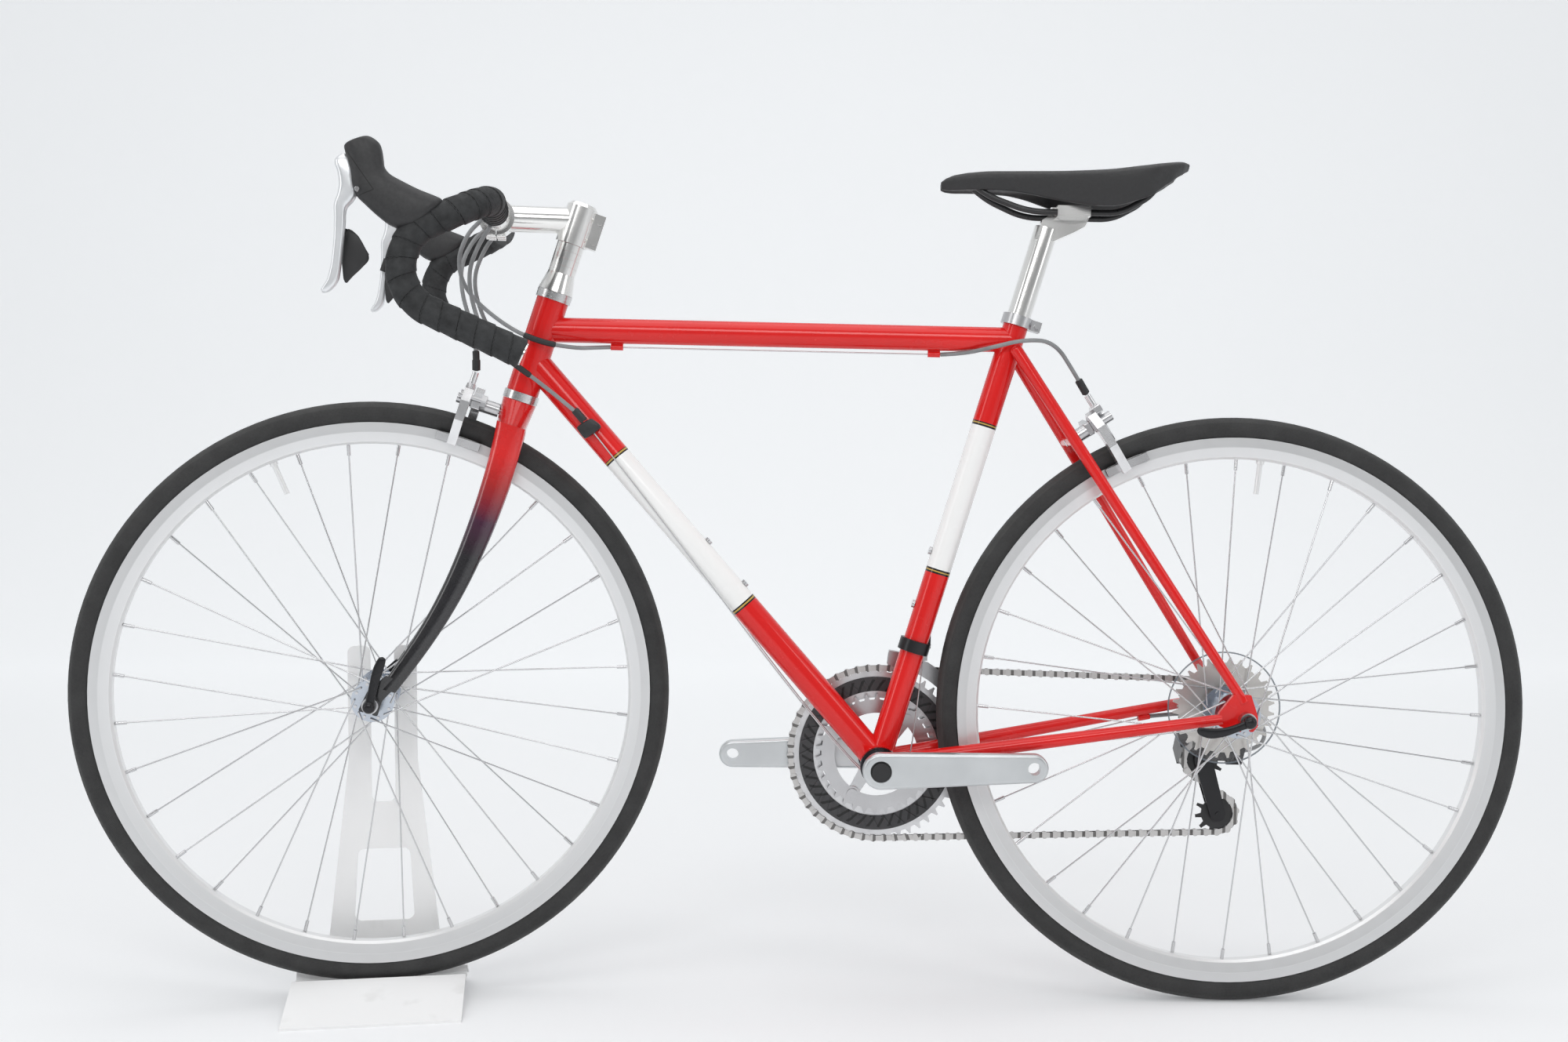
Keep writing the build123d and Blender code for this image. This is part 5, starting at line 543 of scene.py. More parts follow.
# Distances from an axle, and moulded or turned rings as radians a metre.
RIM_INNER, TRACK_INNER, RIM_OUTER, TREAD_EDGE = 0.284, 0.3025, 0.318, 0.330
TRACK_RINGS, WALL_RINGS = 9000.0, 5200.0


def rim_metal(name, place):
    """Rim: machined track with fine rings, pale satin sides and a bright inner band, by distance from the axle."""
    made = Finish(name)
    radius = made.radius(place)
    stops = [(0.0, (0.86, 0.86, 0.86)), (0.20, (0.82, 0.82, 0.82)), (0.24, (0.76, 0.765, 0.77)),
             (0.53, (0.74, 0.745, 0.75)), (0.56, (0.66, 0.665, 0.67)), (1.0, (0.70, 0.705, 0.71))]
    rings = made.math("SINE", made.times(radius, TRACK_RINGS))
    made.shine(base_color=made.ramp(made.range(radius, RIM_INNER, RIM_OUTER), stops), metallic=0.55,
               roughness=made.wander(90.0, 2.0, 0.3, 0.36))
    return made.bump(made.times(rings, made.above(radius, TRACK_INNER)), 0.00001)


def tyre_rubber(name, place):
    """Tyre: dull tread and a smoother sidewall with fine moulded rings."""
    made = Finish(name)
    radius = made.radius(place)
    wall = made.below(radius, TREAD_EDGE)
    rings = made.math("SINE", made.times(radius, WALL_RINGS))
    cloud = made.wander(40.0, 5.0)
    tread = made.mix(cloud, (0.034, 0.034, 0.034), (0.052, 0.052, 0.051))
    side = made.mix(cloud, (0.026, 0.026, 0.026), (0.038, 0.038, 0.038))
    made.shine(base_color=made.mix(wall, tread, side), specular_ior_level=0.4,
               roughness=made.wander(500.0, 4.0, 0.52, 0.72))
    return made.bump(made.plus(made.times(rings, wall), made.noise(1500.0, 4.0)), 0.00007)


# Drive: distances from the cranks' axle, and faces across the bicycle.
RESIN_OUTER, RESIN_FACE = 0.0925, 0.0452
RIB_INNER, RIB_OUTER = 0.0735, 0.0875
RIB_COUNT, RIB_SLANT, RIB_GAP = 44, 55.0, 0.28
RING_TEETH = 50
CHAIN_PITCH = 0.0127
CHAIN_WRAP = 0.112
# Share of each pitch that is painted dark as the shade between link plates.
LINK_SHADE = (0.36, 0.64)
CAP_RADIUS, CAP_FACE = 0.0118, -0.05


def ring_metal():
    """Big chainring: satin alloy, with ribbed black resin on the frame's side, painted near black in the gaps
    between ribs as painted shade in the grooves. A gap between ribs is where the fraction of the angle, counted in
    ribs, plus a slant with the radius, is small."""
    made = Finish("ring_metal")
    radius = made.radius(CRANKS)
    x, y, z = made.within(CRANKS)
    resin = made.times(made.below(radius, RESIN_OUTER), made.below(y, RESIN_FACE))
    phase = made.math("FRACT", made.plus(made.turns(x, z, RIB_COUNT), made.times(radius, RIB_SLANT)))
    groove = made.times(made.between(radius, RIB_INNER, RIB_OUTER), made.below(phase, RIB_GAP))
    # The grooves' near-black colour is painted shade in the recesses between ribs, laid over the resin's own black.
    black = made.mix(groove, (0.045, 0.045, 0.048), (0.003, 0.003, 0.003))
    silver = made.mix(made.wander(60.0, 3.0, edge=0.35), (0.60, 0.60, 0.61), (0.70, 0.70, 0.71))
    made.shine(base_color=made.mix(resin, silver, black), metallic=made.range(resin, 0.0, 1.0, 0.9, 0.0),
               roughness=made.wander(200.0, 3.0, 0.28, 0.36))
    return made.bump(made.times(made.rest(groove), resin), 0.0008)


def chain_metal():
    """Chain: bright plates with a dark gap at every pitch, painted as the shade between the plates, which is counted by
    angle round the big chainring and by length along the runs."""
    made = Finish("chain_metal")
    x, _, z = made.within(CRANKS)
    wrapped = made.below(made.radius(CRANKS), CHAIN_WRAP)
    along = made.math("DIVIDE", x, CHAIN_PITCH)
    pitches = made.plus(made.times(wrapped, made.turns(x, z, RING_TEETH)), made.times(made.rest(wrapped), along))
    # The dark gap is painted shade between the link plates.
    gap = made.between(made.math("FRACT", pitches), *LINK_SHADE)
    plates = made.mix(made.noise(180.0, 3.0), (0.52, 0.51, 0.50), (0.64, 0.63, 0.62))
    made.shine(base_color=made.mix(gap, plates, (0.17, 0.165, 0.16)), metallic=0.85,
               roughness=made.wander(90.0, 3.0, 0.28, 0.36))
    return made.bump(made.noise(METAL_GRAIN, 2.0), 0.000006)


def crank_metal():
    """Cranks: smooth satin alloy, with a black cap round the axle on the left."""
    made = Finish("crank_metal")
    _, y, _ = made.within(CRANKS)
    cap = made.times(made.below(made.radius(CRANKS), CAP_RADIUS), made.below(y, CAP_FACE))
    grey = made.mix(made.wander(25.0, 2.0), (0.58, 0.60, 0.61), (0.64, 0.66, 0.67))
    made.shine(base_color=made.mix(cap, grey, (0.015, 0.015, 0.016)),
               metallic=made.range(cap, 0.0, 1.0, 0.75, 0.0), roughness=made.wander(60.0, 2.0, 0.3, 0.36))
    return made.bump(made.noise(METAL_GRAIN, 2.0), 0.000004)


# Brake pads lie this near the middle plane, and reach this far above the shoes' bolts.
PAD_INSIDE, PAD_ABOVE = 0.0155, 0.010


def caliper_metal(name, place, reach):
    """Brake arms: polished alloy, with grey rubber pads beside the rim."""
    made = Finish(name)
    _, y, z = made.within(place)
    pad = made.times(made.below(made.math("ABSOLUTE", y), PAD_INSIDE), made.below(z, -reach * MM + PAD_ABOVE))
    silver = made.mix(made.wander(50.0, 4.0, edge=0.35), (0.72, 0.72, 0.73), (0.80, 0.80, 0.81))
    rubber = made.mix(made.noise(300.0, 4.0), (0.03, 0.03, 0.032), (0.05, 0.05, 0.052))
    made.shine(base_color=made.mix(pad, silver, rubber), metallic=made.range(pad, 0.0, 1.0, 0.85, 0.0),
               roughness=made.range(pad, 0.0, 1.0, 0.24, 0.6))
    return made.bump(made.noise(METAL_GRAIN, 3.0), 0.000002)


CUPS_PART = 0.1


def cup_metal():
    """Bearing cups: polished at the head tube, dark at the bottom bracket, parted by height."""
    made = Finish("cup_metal")
    _, _, z = made.within(CRANKS)
    bright = made.mix(made.wander(60.0, 4.0, edge=0.35), (0.58,) * 3, (0.68,) * 3)
    made.shine(base_color=made.mix(made.below(z, CUPS_PART), bright, (0.05, 0.05, 0.055)), metallic=1.0,
               roughness=made.wander(400.0, 4.0, 0.18, 0.3))
    return made.bump(made.noise(METAL_GRAIN, 2.0), 0.00002)


def stand_paint():
    """Stand: white powder coat with faint upright scuffs."""
    made = Finish("stand_white")
    scuff = made.range(made.noise(24.0, 8.0, stretch=(1.0, 1.0, 0.4)), 0.60, 0.72)
    white = made.mix(made.wander(6.0, 3.0), (0.90, 0.90, 0.90), (0.95, 0.95, 0.95))
    made.shine(base_color=made.mix(made.times(scuff, 0.3), white, (0.66, 0.655, 0.64)),
               roughness=made.wander(180.0, 4.0, 0.36, 0.5))
    return made.bump(made.noise(700.0, 3.0), 0.00005)


DISC_EDGE = 0.0638


def clear_plastic():
    """Spoke disc: thin clear plastic with a faint haze, grey where its edge is seen."""
    made = Finish("clear_plastic")
    edge = made.above(made.radius(REAR_WHEEL), DISC_EDGE)
    haze = made.mix(made.noise(40.0, 4.0), (0.78, 0.79, 0.80), (0.9, 0.9, 0.91))
    made.shine(base_color=made.mix(edge, haze, (0.20, 0.23, 0.26)), alpha=made.range(edge, 0.0, 1.0, 0.05, 0.65),
               roughness=made.wander(120.0, 4.0, 0.08, 0.2))
    return made.bump(made.noise(300.0, 2.0), 0.00003)


# Shares of a turn of tape between which its face is clear of the painted shade at the lap; past the second it drops to
# the next turn.
LAP_SHADE_END, LAP_EDGE = 0.03, 0.95


def cork_tape(settings):
    """Bar tape: dull black cork with fine pores, and painted shade, near black, where each turn steps down under the
    next.
    """
    made = Finish("cork_tape")
    pores = made.add("TexVoronoi", Vector=made.place, Scale=700.0).outputs["Distance"]
    turn = made.add("Attribute")
    turn.attribute_name = "turn"
    cork = made.mix(made.wander(90.0, 4.0), shade(settings.colour, 0.75), shade(settings.colour, 1.5))
    # Near black at each lap's edge: painted shade where one turn steps down under the next.
    lap_shade = made.rest(made.between(turn.outputs["Fac"], LAP_SHADE_END, LAP_EDGE))
    made.shine(base_color=made.mix(lap_shade, cork, (0.001, 0.001, 0.001)), specular_ior_level=0.3,
               roughness=made.wander(300.0, 4.0, 0.55, 0.75))
    return made.bump(made.plus(pores, made.noise(900.0, 4.0)), 0.00012)


# x and z of the front plate's line in the fork's frame, and half its width.
PLATE_LINE = [(-0.2330, 0.1757), (-0.1935, 0.1459), (-0.2055, 0.1361)]
PLATE_LINE_HALF = 0.0005


def hood_rubber():
    """Hoods: grained rubber with the thin parting line of the front plate. A point is on the line where its distance
    off one of the line's two straight runs is small and its distance along that run is within it."""
    made = Finish("hood_rubber")
    x, _, z = made.within(FORK)
    runs = []
    for (start_x, start_z), (end_x, end_z) in zip(PLATE_LINE, PLATE_LINE[1:]):
        length = math.hypot(end_x - start_x, end_z - start_z)
        way_x, way_z = (end_x - start_x) / length, (end_z - start_z) / length
        right, up = made.math("SUBTRACT", x, start_x), made.math("SUBTRACT", z, start_z)
        along = made.plus(made.times(right, way_x), made.times(up, way_z))
        off = made.math("SUBTRACT", made.times(up, way_x), made.times(right, way_z))
        on_line = made.between(off, -PLATE_LINE_HALF, PLATE_LINE_HALF)
        runs.append(made.times(made.between(along, 0.0, length), on_line))
    rubber = made.mix(made.wander(300.0, 4.0, edge=0.35), (0.019, 0.019, 0.020), (0.025, 0.025, 0.026))
    made.shine(base_color=made.mix(made.math("MAXIMUM", *runs), rubber, (0.003, 0.003, 0.003)),
               roughness=made.wander(200.0, 3.0, 0.45, 0.55))
    return made.bump(made.noise(RUBBER_GRAIN, 2.0), 0.00006)


WORN_FROM, WORN_TO = 0.05, 0.12


def saddle_skin(settings):
    """Saddle cover: fine black grain, greyer and rubbed towards the rear."""
    made = Finish("saddle_skin")
    x, _, _ = made.within(SADDLE)
    cells = made.add("TexVoronoi", Vector=made.place, Scale=620.0).outputs["Distance"]
    worn = made.times(made.range(x, WORN_FROM, WORN_TO), made.range(made.noise(50.0, 5.0), 0.4, 0.65))
    base = made.mix(made.times(worn, 0.5), tuple(settings.colour), (0.045, 0.045, 0.047))
    made.shine(base_color=base, specular_ior_level=0.45, roughness=made.wander(240.0, 4.0, 0.42, 0.58))
    return made.bump(made.plus(cells, made.noise(500.0, 4.0)), settings.grain)


# Bars, hoods and levers, in the fork's frame

BAR_CENTRE = np.array([-87.74, 0.0, 178.43])
BAR_HALF_WIDTH = 205.0
# x and z of the drop's corners from the bar's centre, and the radii of the bends before each of them.
DROP_CORNERS = ((-62, -59), (-62, -123), (82, -139))
BAR_BENDS = (50.0, 45.0, 46.0)
TAPE_START = 60.0
TAPE_STEP = 0.9
TAPE_SIDES = 44
TAPE_REFERENCE = (0.55, 0.6, 0.58)
# Steps over which the tape's end rounds over and its start fills out, and the least share of the radius there.
END_STEPS, END_LEAST = 4.0, 0.12
START_STEPS, START_LEAST = 40.0, 0.9


def bar_line(side):
    """Centre line of one taped half of the bar: straight runs joined by arcs, at even steps.

    An arc of radius r that leaves direction d towards normal n is r sin(a) d + r (1 - cos(a)) n.
    """
    x, _, z = BAR_CENTRE
    y = side * BAR_HALF_WIDTH
    corners = np.array([(x, side * TAPE_START, z), (x, y, z), *((x + dx, y, z + dz) for dx, dz in DROP_CORNERS)])
    pieces = [corners[:1]]
    for before, corner, after, radius in zip(corners, corners[1:], corners[2:], BAR_BENDS):
        inward, outward = unit(corner - before), unit(after - corner)
        turn = math.acos(inward @ outward)
        side_way = unit(outward - (outward @ inward) * inward)
        angle = np.linspace(0, turn, 40)[:, None]
        start = corner - inward * radius * math.tan(turn / 2)
        pieces.append(start + radius * (np.sin(angle) * inward + (1 - np.cos(angle)) * side_way))
    rough = np.concatenate(pieces + [corners[-1:]])
    return at_lengths(rough, np.arange(0, run_of(rough)[-1], TAPE_STEP))


def taped_bar(settings):
    """Wound tape: a tube along the bar whose radius climbs across each turn and drops at its lapped edge.

    The share of a turn is the fraction of length / pitch + angle / full turn; past the lap's edge it drops
    back. The far end rounds over into the end plug. The share is kept as the attribute "turn".
    """
    grids, turns = [], []
    for side in (-1, 1):
        path = bar_line(side)
        step = np.arange(len(path))[:, None]
        angle = np.arange(TAPE_SIDES)[None] / TAPE_SIDES
        share = (step * TAPE_STEP / (settings.pitch / MM) + side * angle) % 1.0
        lap = np.where(share < LAP_EDGE, share / LAP_EDGE, (1 - share) / (1 - LAP_EDGE))
        turns.append(share.ravel())
        radius = settings.radius / MM + settings.lap / MM * lap
        radius = radius * np.sqrt(np.clip((len(path) - step) / END_STEPS, END_LEAST, 1.0))
        radius = radius * np.clip(START_LEAST + step / START_STEPS, START_LEAST, 1.0)
        grids.append(to_row(FORK, tube(path, radius, TAPE_SIDES, TAPE_REFERENCE)))
    made = shell("wound_tape", grids, sharp=50)
    made.data.attributes.new("turn", "FLOAT", "POINT").data.foreach_set("value", np.concatenate(turns))
    return made


HOOD_STATIONS = np.array([
    # upper x and z, lower x and z, half width
    (-121, 160, -140, 131, 14.4), (-137.6, 161.2, -154.6, 120.5, 16.2), (-154.1, 161.9, -167.8, 118.3, 16.2),
    (-170.9, 164.1, -183.0, 123.0, 15.8), (-184.0, 166.5, -197.6, 129.5, 15.2), (-191.7, 171.2, -209.4, 135.6, 14.8),
    (-195.4, 178.5, -216.4, 145.0, 14.6), (-199.3, 186.4, -221.4, 155.0, 14.6), (-204.3, 192.3, -227.8, 166.0, 14.4),
    (-213.7, 195.0, -233.4, 174.7, 13.6), (-221.5, 192.6, -236.0, 180.4, 12.0)])
LEVER_STATIONS = np.array([
    # front x and z, rear x and z, half width
    (-240.2, 165, -231, 174.5, 7.0), (-238.0, 158, -219.5, 160, 8.6), (-233.2, 151.5, -214.5, 148, 9.0),
    (-228.5, 141, -209.5, 137, 9.0), (-227.0, 130, -210.8, 128.7, 8.8), (-227.0, 120, -214.1, 119.6, 8.2),
    (-222.4, 105.9, -210.9, 105.4, 7.6), (-216.5, 84.7, -206.4, 84.2, 7.2), (-212.6, 65, -202.6, 65.4, 7.0),
    (-211.4, 48.6, -200.6, 50.4, 7.0), (-213.4, 39.4, -203.4, 40.8, 6.4), (-213.9, 34, -208.4, 33.6, 5.0)])

# Share of its full size that a loft's first and last ring keep.
LEAST_RING = 0.06


def lofted(stations, centre, rows, sides, power, share, place=FORK):
    """Body drawn through stations across a plane, each ring a superellipse between its two edge points.

    Ring point: middle + half chord * |sin|^(2/power) + half width across * |cos|^(2/power), with signs; both
    ends close along quarter ellipses.
    """
    made = smooth(stations, rows)
    first, second = made[:, [0, 1]], made[:, [2, 3]]
    middle, half, width = (first + second) / 2, (first - second) / 2, made[:, 4]
    close = rounded_ends(rows, share).clip(LEAST_RING)
    angle = np.arange(sides) * 2 * math.pi / sides
    high = np.sign(np.sin(angle)) * np.abs(np.sin(angle)) ** (2 / power)
    wide = np.sign(np.cos(angle)) * np.abs(np.cos(angle)) ** (2 / power)
    edge = middle[:, None] + close[:, None, None] * half[:, None] * high[None, :, None]
    across = centre + close[:, None] * width[:, None] * wide[None]
    return to_row(place, np.stack([edge[..., 0], across, edge[..., 1]], -1))


def straight_bar(start, end, centre, half_height, half_width, place=FORK):
    """Rounded bar between two (x, z) points of a plane: a four-row loft."""
    start, end = np.array(start, float), np.array(end, float)
    along = unit(end - start)
    up = np.array([-along[1], along[0]]) * half_height
    stations = [(*(p + up), *(p - up), half_width) for p in np.linspace(start, end, 4)]
    return lofted(stations, centre, rows=14, sides=20, power=4.0, share=0.12, place=place)


# Lever brackets and pins: x and z of their ends or middle, and half their sizes.
BRACKET_START, BRACKET_END = (-192, 146), (-212, 141)
BRACKET_HALF_HEIGHT, BRACKET_HALF_WIDTH = 7.0, 4.0
PIN_AT, PIN_RADIUS, PIN_HALF_LENGTH = (-208.6, 141.4), 2.6, 15.6
PADDLE_STATIONS = np.array([
    # front x and z, rear x and z, half thickness
    (-209.5, 104, -199, 100.5, 1.8), (-209, 95, -190, 92.5, 2.4), (-208, 84, -181, 81.5, 2.6),
    (-206, 72, -184.5, 70.5, 2.5), (-202, 62, -190.5, 59, 2.3), (-198, 52.5, -194.5, 49.5, 1.6)])
PADDLE_OFF = 12.6
STOP_STATIONS = np.array([
    # upper x and z, lower x and z, half thickness, in the down tube's frame
    (9, 495, -12, 497, 4.5), (11, 499, -12.5, 502, 5.2), (10, 505, -12, 508, 5.2), (8, 512, -11, 515, 4.6)])
STOP_OFF = 21.0
# The stops' adjusters: x and z of their ends in the down tube's frame, distance off its middle and half their size.
ADJUSTER_START, ADJUSTER_END = (0, 512), (0, 532)
ADJUSTER_OFF, ADJUSTER_HALF = 18.5, 4.4
QUICK_STATIONS = np.array([
    # along the lever, bow, half width, half thickness
    (-5, 0, 6, 4.2), (4, 1.0, 5.2, 3.6), (14, 3.2, 4.6, 3.0), (28, 5.6, 5.0, 2.7), (44, 6.4, 5.6, 2.5),
    (58, 5, 4, 2.0)])
EYE_STATIONS = np.array([
    # share of the eye's depth, share of its radius
    (0, 0.9), (0.15, 1), (0.4, 1), (0.7, 0.93), (0.9, 0.7), (1.0, 0.35)])
EYE_RADIUS, EYE_BACK, EYE_DEPTH = 7.4, 5.6, 12.6
# Each quick release lever: its end, frame, direction, bow against the table and place across.
QUICK_LEVERS = (("front", FRONT_WHEEL, HEAD_ANGLE, 0.5, -71.3), ("rear", REAR_WHEEL, math.pi, 2.0, -86.3))


def quick_lever(place, angle, bow, y):
    """Quick release lever with its domed eye: the lever's line bows sideways from its eye to its tip.

    Station (u, v): x = u cos(angle) - v sin(angle), z = u sin(angle) + v cos(angle), with v = bow -+ half width.
    """
    along, off, half, thick = QUICK_STATIONS.T
    turn = np.array([[math.cos(angle), math.sin(angle)], [-math.sin(angle), math.cos(angle)]])
    edges = [np.stack([along, bow * off + sign * half], 1) @ turn for sign in (1, -1)]
    blade = lofted(np.column_stack([*edges, thick]), y, rows=60, sides=24, power=3.0, share=0.06, place=place)
    share, swell = EYE_STATIONS.T
    path = np.stack([0 * share, y + EYE_BACK - EYE_DEPTH * share, 0 * share], 1)
    return [blade, to_row(place, tube(path, EYE_RADIUS * swell, 28))]


def lever_pin(side):
    """Short pin across a lever: a capped tube along Y, drawn in at its ends."""
    y = side * BAR_HALF_WIDTH
    path = np.array([(PIN_AT[0], y + share * PIN_HALF_LENGTH, PIN_AT[1]) for share in (-1, -0.96, 0.96, 1)])
    return to_row(FORK, tube(path, PIN_RADIUS * np.array([0.8, 1, 1, 0.8]), 20))


# Cables


def route_line(points):
    """Points of the smooth line that a NURBS spline draws with a route's points as its control points."""
    points = np.asarray(points, float) * MM
    curve = bpy.data.curves.new("route", "CURVE")
    curve.dimensions = "3D"
    spline = curve.splines.new("NURBS")
    spline.points.add(len(points) - 1)
    spline.points.foreach_set("co", np.column_stack([points, np.ones(len(points))]).ravel())
    spline.order_u = 3
    spline.use_endpoint_u = True
    spline.resolution_u = 16
    holder = bpy.data.objects.new("route", curve)
    bpy.context.scene.collection.objects.link(holder)
    bpy.context.view_layer.update()
    mesh = bpy.data.meshes.new_from_object(holder)
    path = np.empty(len(mesh.vertices) * 3)
    mesh.vertices.foreach_get("co", path)
    bpy.data.objects.remove(holder)
    bpy.data.curves.remove(curve)
    bpy.data.meshes.remove(mesh)
    return path.reshape(-1, 3)


SLEEVE_EDGE = 0.6


def sleeve_grid(path, start, end, radius):
    """Tube over the part of a path between two lengths along it, drawn in at its ends."""
    at = np.linspace(start, end, 24)
    ends = np.clip(np.minimum(at - start, end - at) / (SLEEVE_EDGE * MM), 0, 1)
    return tube(at_lengths(path, at), radius * (0.82 + 0.18 * np.sqrt(ends)), 16)


# Each route's points, in millimetres of the row frame, from its first end to its last.
FRONT_BRAKE_ROUTE = [(-369.6, 61.4, 894.6), (-368.3, 52.8, 894.2), (-381.4, 40.5, 879.8), (-393.3, 26.0, 850.1),
                     (-390.3, 14.0, 815.3), (-379.0, 7.2, 781.9), (-372.4, 7.6, 754.4), (-373.2, 8.9, 726.0)]
REAR_BRAKE_FRONT_ROUTE = [(-352.1, -56.6, 888.7), (-353.4, -48.0, 889.2), (-371.9, -40.9, 874.5),
                          (-384.9, -35.3, 845.1), (-376.6, -26.2, 810.7), (-333.5, -18.4, 773.6),
                          (-295.8, -10.4, 756.8), (-257.9, 1.6, 751.2), (-237.1, 14.6, 752.9), (-221.1, 17.6, 753.5)]
REAR_BRAKE_WIRE_ROUTE = [(-221.0, 17.6, 753.5), (-32.5, 17.6, 748.9), (155.9, 17.6, 744.4)]
REAR_BRAKE_REAR_ROUTE = [(156.0, 17.6, 744.4), (180.0, 12.6, 744.8), (212.1, -4.4, 750.6), (246.3, -12.4, 758.9),
                         (282.3, -6.4, 757.2), (309.0, 12.6, 721.4), (323.2, 17.6, 698.6)]
LEFT_SHIFT_ROUTE = [(-343.6, -54.9, 881.1), (-344.9, -46.3, 881.5), (-357.8, -45.3, 863.4), (-370.1, -48.6, 831.7),
                    (-365.9, -42.8, 792.8), (-351.3, -32.3, 752.2), (-284.6, -10.9, 702.4), (-255.3, -0.9, 676.0)]
RIGHT_SHIFT_ROUTE = [(-361.1, 63.0, 887.0), (-359.8, 54.5, 886.5), (-372.2, 51.5, 868.3), (-385.3, 54.2, 836.9),
                     (-378.3, 54.0, 800.7), (-358.9, 52.7, 762.5), (-278.6, 45.1, 709.4), (-255.3, 36.1, 676.0)]
LEFT_WIRE_ROUTE = [(-254.9, -0.9, 675.5), (-220.5, -0.9, 635.3), (63.5, 9.6, 255.1), (105.5, 12.6, 254.3),
                   (121.0, 14.6, 276.0), (130.3, 21.6, 339.2), (139.5, 39.6, 400.4)]
RIGHT_WIRE_ROUTE = [(-254.9, 36.1, 675.5), (-220.5, 36.1, 635.3), (63.5, 25.6, 255.1), (105.5, 28.6, 254.3),
                    (377.4, 74.4, 314.0), (410.6, 78.8, 319.2)]
REAR_LOOP_ROUTE = [(411.3, 78.9, 319.3), (442.6, 88.1, 321.2), (475.5, 97.1, 319.2), (512.5, 103.6, 319.5),
                   (545.5, 106.6, 316.8), (559.1, 106.6, 294.6), (548.7, 104.6, 275.8), (527.4, 102.6, 273.2)]


# Sleeves over a cable: start, end and radius in metres, the first two along it.
FRONT_BOOT = [("boot", [(0.170, 0.182, 0.0040), (0.180, 0.1925, 0.0047)])]
REAR_BOOT = [("boot", [(0.186, 0.2045, 0.0045)])]
BRAKE_GUARD = [("guard", [(0.175, 0.212, 0.0034)])]
SHIFT_GUARD = [("guard", [(0.150, 0.200, 0.0034)])]


def lay_cable(name, route, diameter, finish, slot, lay, nodes=(), pieces=(), blended=False, body="frame", sleeve=None):
    """A cable as a tube along its route's smooth line, with its sleeves, on one body, or left in place on none when
    blended.
    """
    path = route_line(route)
    made = grid_mesh(name, [tube(path, diameter / 2, 12)])
    with_it = [shell(f"{name}_{word}", [sleeve_grid(path, a, b, r) for a, b, r in spans]) for word, spans in pieces]
    put(made, finish, None, slot, *nodes)
    for piece in with_it:
        put(piece, sleeve, None, "black_resin")
    for piece in [made, *with_it]:
        if blended:
            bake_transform(piece)
        else:
            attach(piece, body)


# Saddle

SADDLE_STATIONS = np.array([
    # x, half width, top, widest height, half width of the lower edge, lower edge
    (-147.5, 8, 22, 18.5, 6, 13.5), (-143, 12, 25.5, 20, 9, 12), (-134, 16, 29.3, 22, 12.5, 11.5),
    (-118, 18.5, 32.3, 24, 15, 12), (-96, 21, 34.5, 25, 17, 12), (-60, 25, 35, 25, 20, 9),
    (-10, 42, 34.2, 23.5, 36, -3), (38, 62, 34.8, 23, 55, -10), (76, 69, 38.8, 27, 62, 0),
    (102, 63, 42.3, 32, 56, 17.5), (116, 53, 43.8, 35.5, 46, 27), (124, 42, 42.5, 37, 36, 32.5)])
SADDLE_LENGTH = SADDLE_STATIONS[-1, 0] - SADDLE_STATIONS[0, 0]
SADDLE_STEPS = 2000
GROOVE_DEPTH, GROOVE_HALF = 2.2, 9.0
# Where the groove starts and ends along the saddle, and the lengths over which it eases in and out.
GROOVE_START, GROOVE_IN, GROOVE_END, GROOVE_OUT = -120, 60, 100, 50
EDGE_WALL, FLOOR_LIFT, FLOOR_HIGHEST, FOAM = 4.0, 2.0, 13.0, 14.0


def saddle_form(settings):
    """Saddle cover: rings across the saddle from nose to tail.

    Each ring runs over the crowned top (a half superellipse from the widest height up), down the drawn-in
    side to the lower edge, round it, and back under a hollow floor. A shallow groove follows the middle line.
    """
    x = SADDLE_STATIONS[:, 0]
    at = x[0] + SADDLE_LENGTH * (1 - np.cos(np.linspace(0, math.pi, settings.rows))) / 2
    index = np.interp(at, x, np.arange(len(x)))
    dense = smooth(SADDLE_STATIONS, SADDLE_STEPS + 1)
    pick = dense[np.round(index / (len(x) - 1) * SADDLE_STEPS).astype(int)]
    half, top, wide, foot, low = (pick[:, k][:, None] for k in range(1, 6))
    at = at[:, None]
    angle = np.linspace(0, math.pi, 41)[None]
    crown_y = half * np.sign(np.cos(angle)) * np.abs(np.cos(angle)) ** 0.85
    ease_in = np.clip((at - GROOVE_START) / GROOVE_IN, 0, 1)
    ease_out = np.clip((GROOVE_END - at) / GROOVE_OUT, 0, 1)
    groove = GROOVE_DEPTH * np.exp(-((crown_y / GROOVE_HALF) ** 2)) * ease_in * ease_out
    crown_z = wide + (top - wide) * np.sin(angle) ** 0.8 - groove
    side = np.linspace(0, 1, 12)[None, 1:]
    left_y = -(half + (foot - half) * side**1.6)
    left_z = wide + (low - wide) * side
    inner = np.clip(foot - EDGE_WALL, 2.0, None)
    floor = np.maximum(low + FLOOR_LIFT, np.minimum(top - FOAM, FLOOR_HIGHEST))
    fan = np.linspace(-1, 1, 25)[None]
    under_y = inner * fan
    under_z = floor - (floor - low) * np.abs(fan) ** 6
    y = np.concatenate([crown_y, left_y, under_y, -left_y[:, ::-1]], 1)
    z = np.concatenate([crown_z, left_z, under_z, left_z[:, ::-1]], 1)
    grid = np.stack([np.broadcast_to(at, y.shape), y, z], -1)
    return shell("saddle", [to_row(SADDLE, grid)], sharp=70)


# Operators


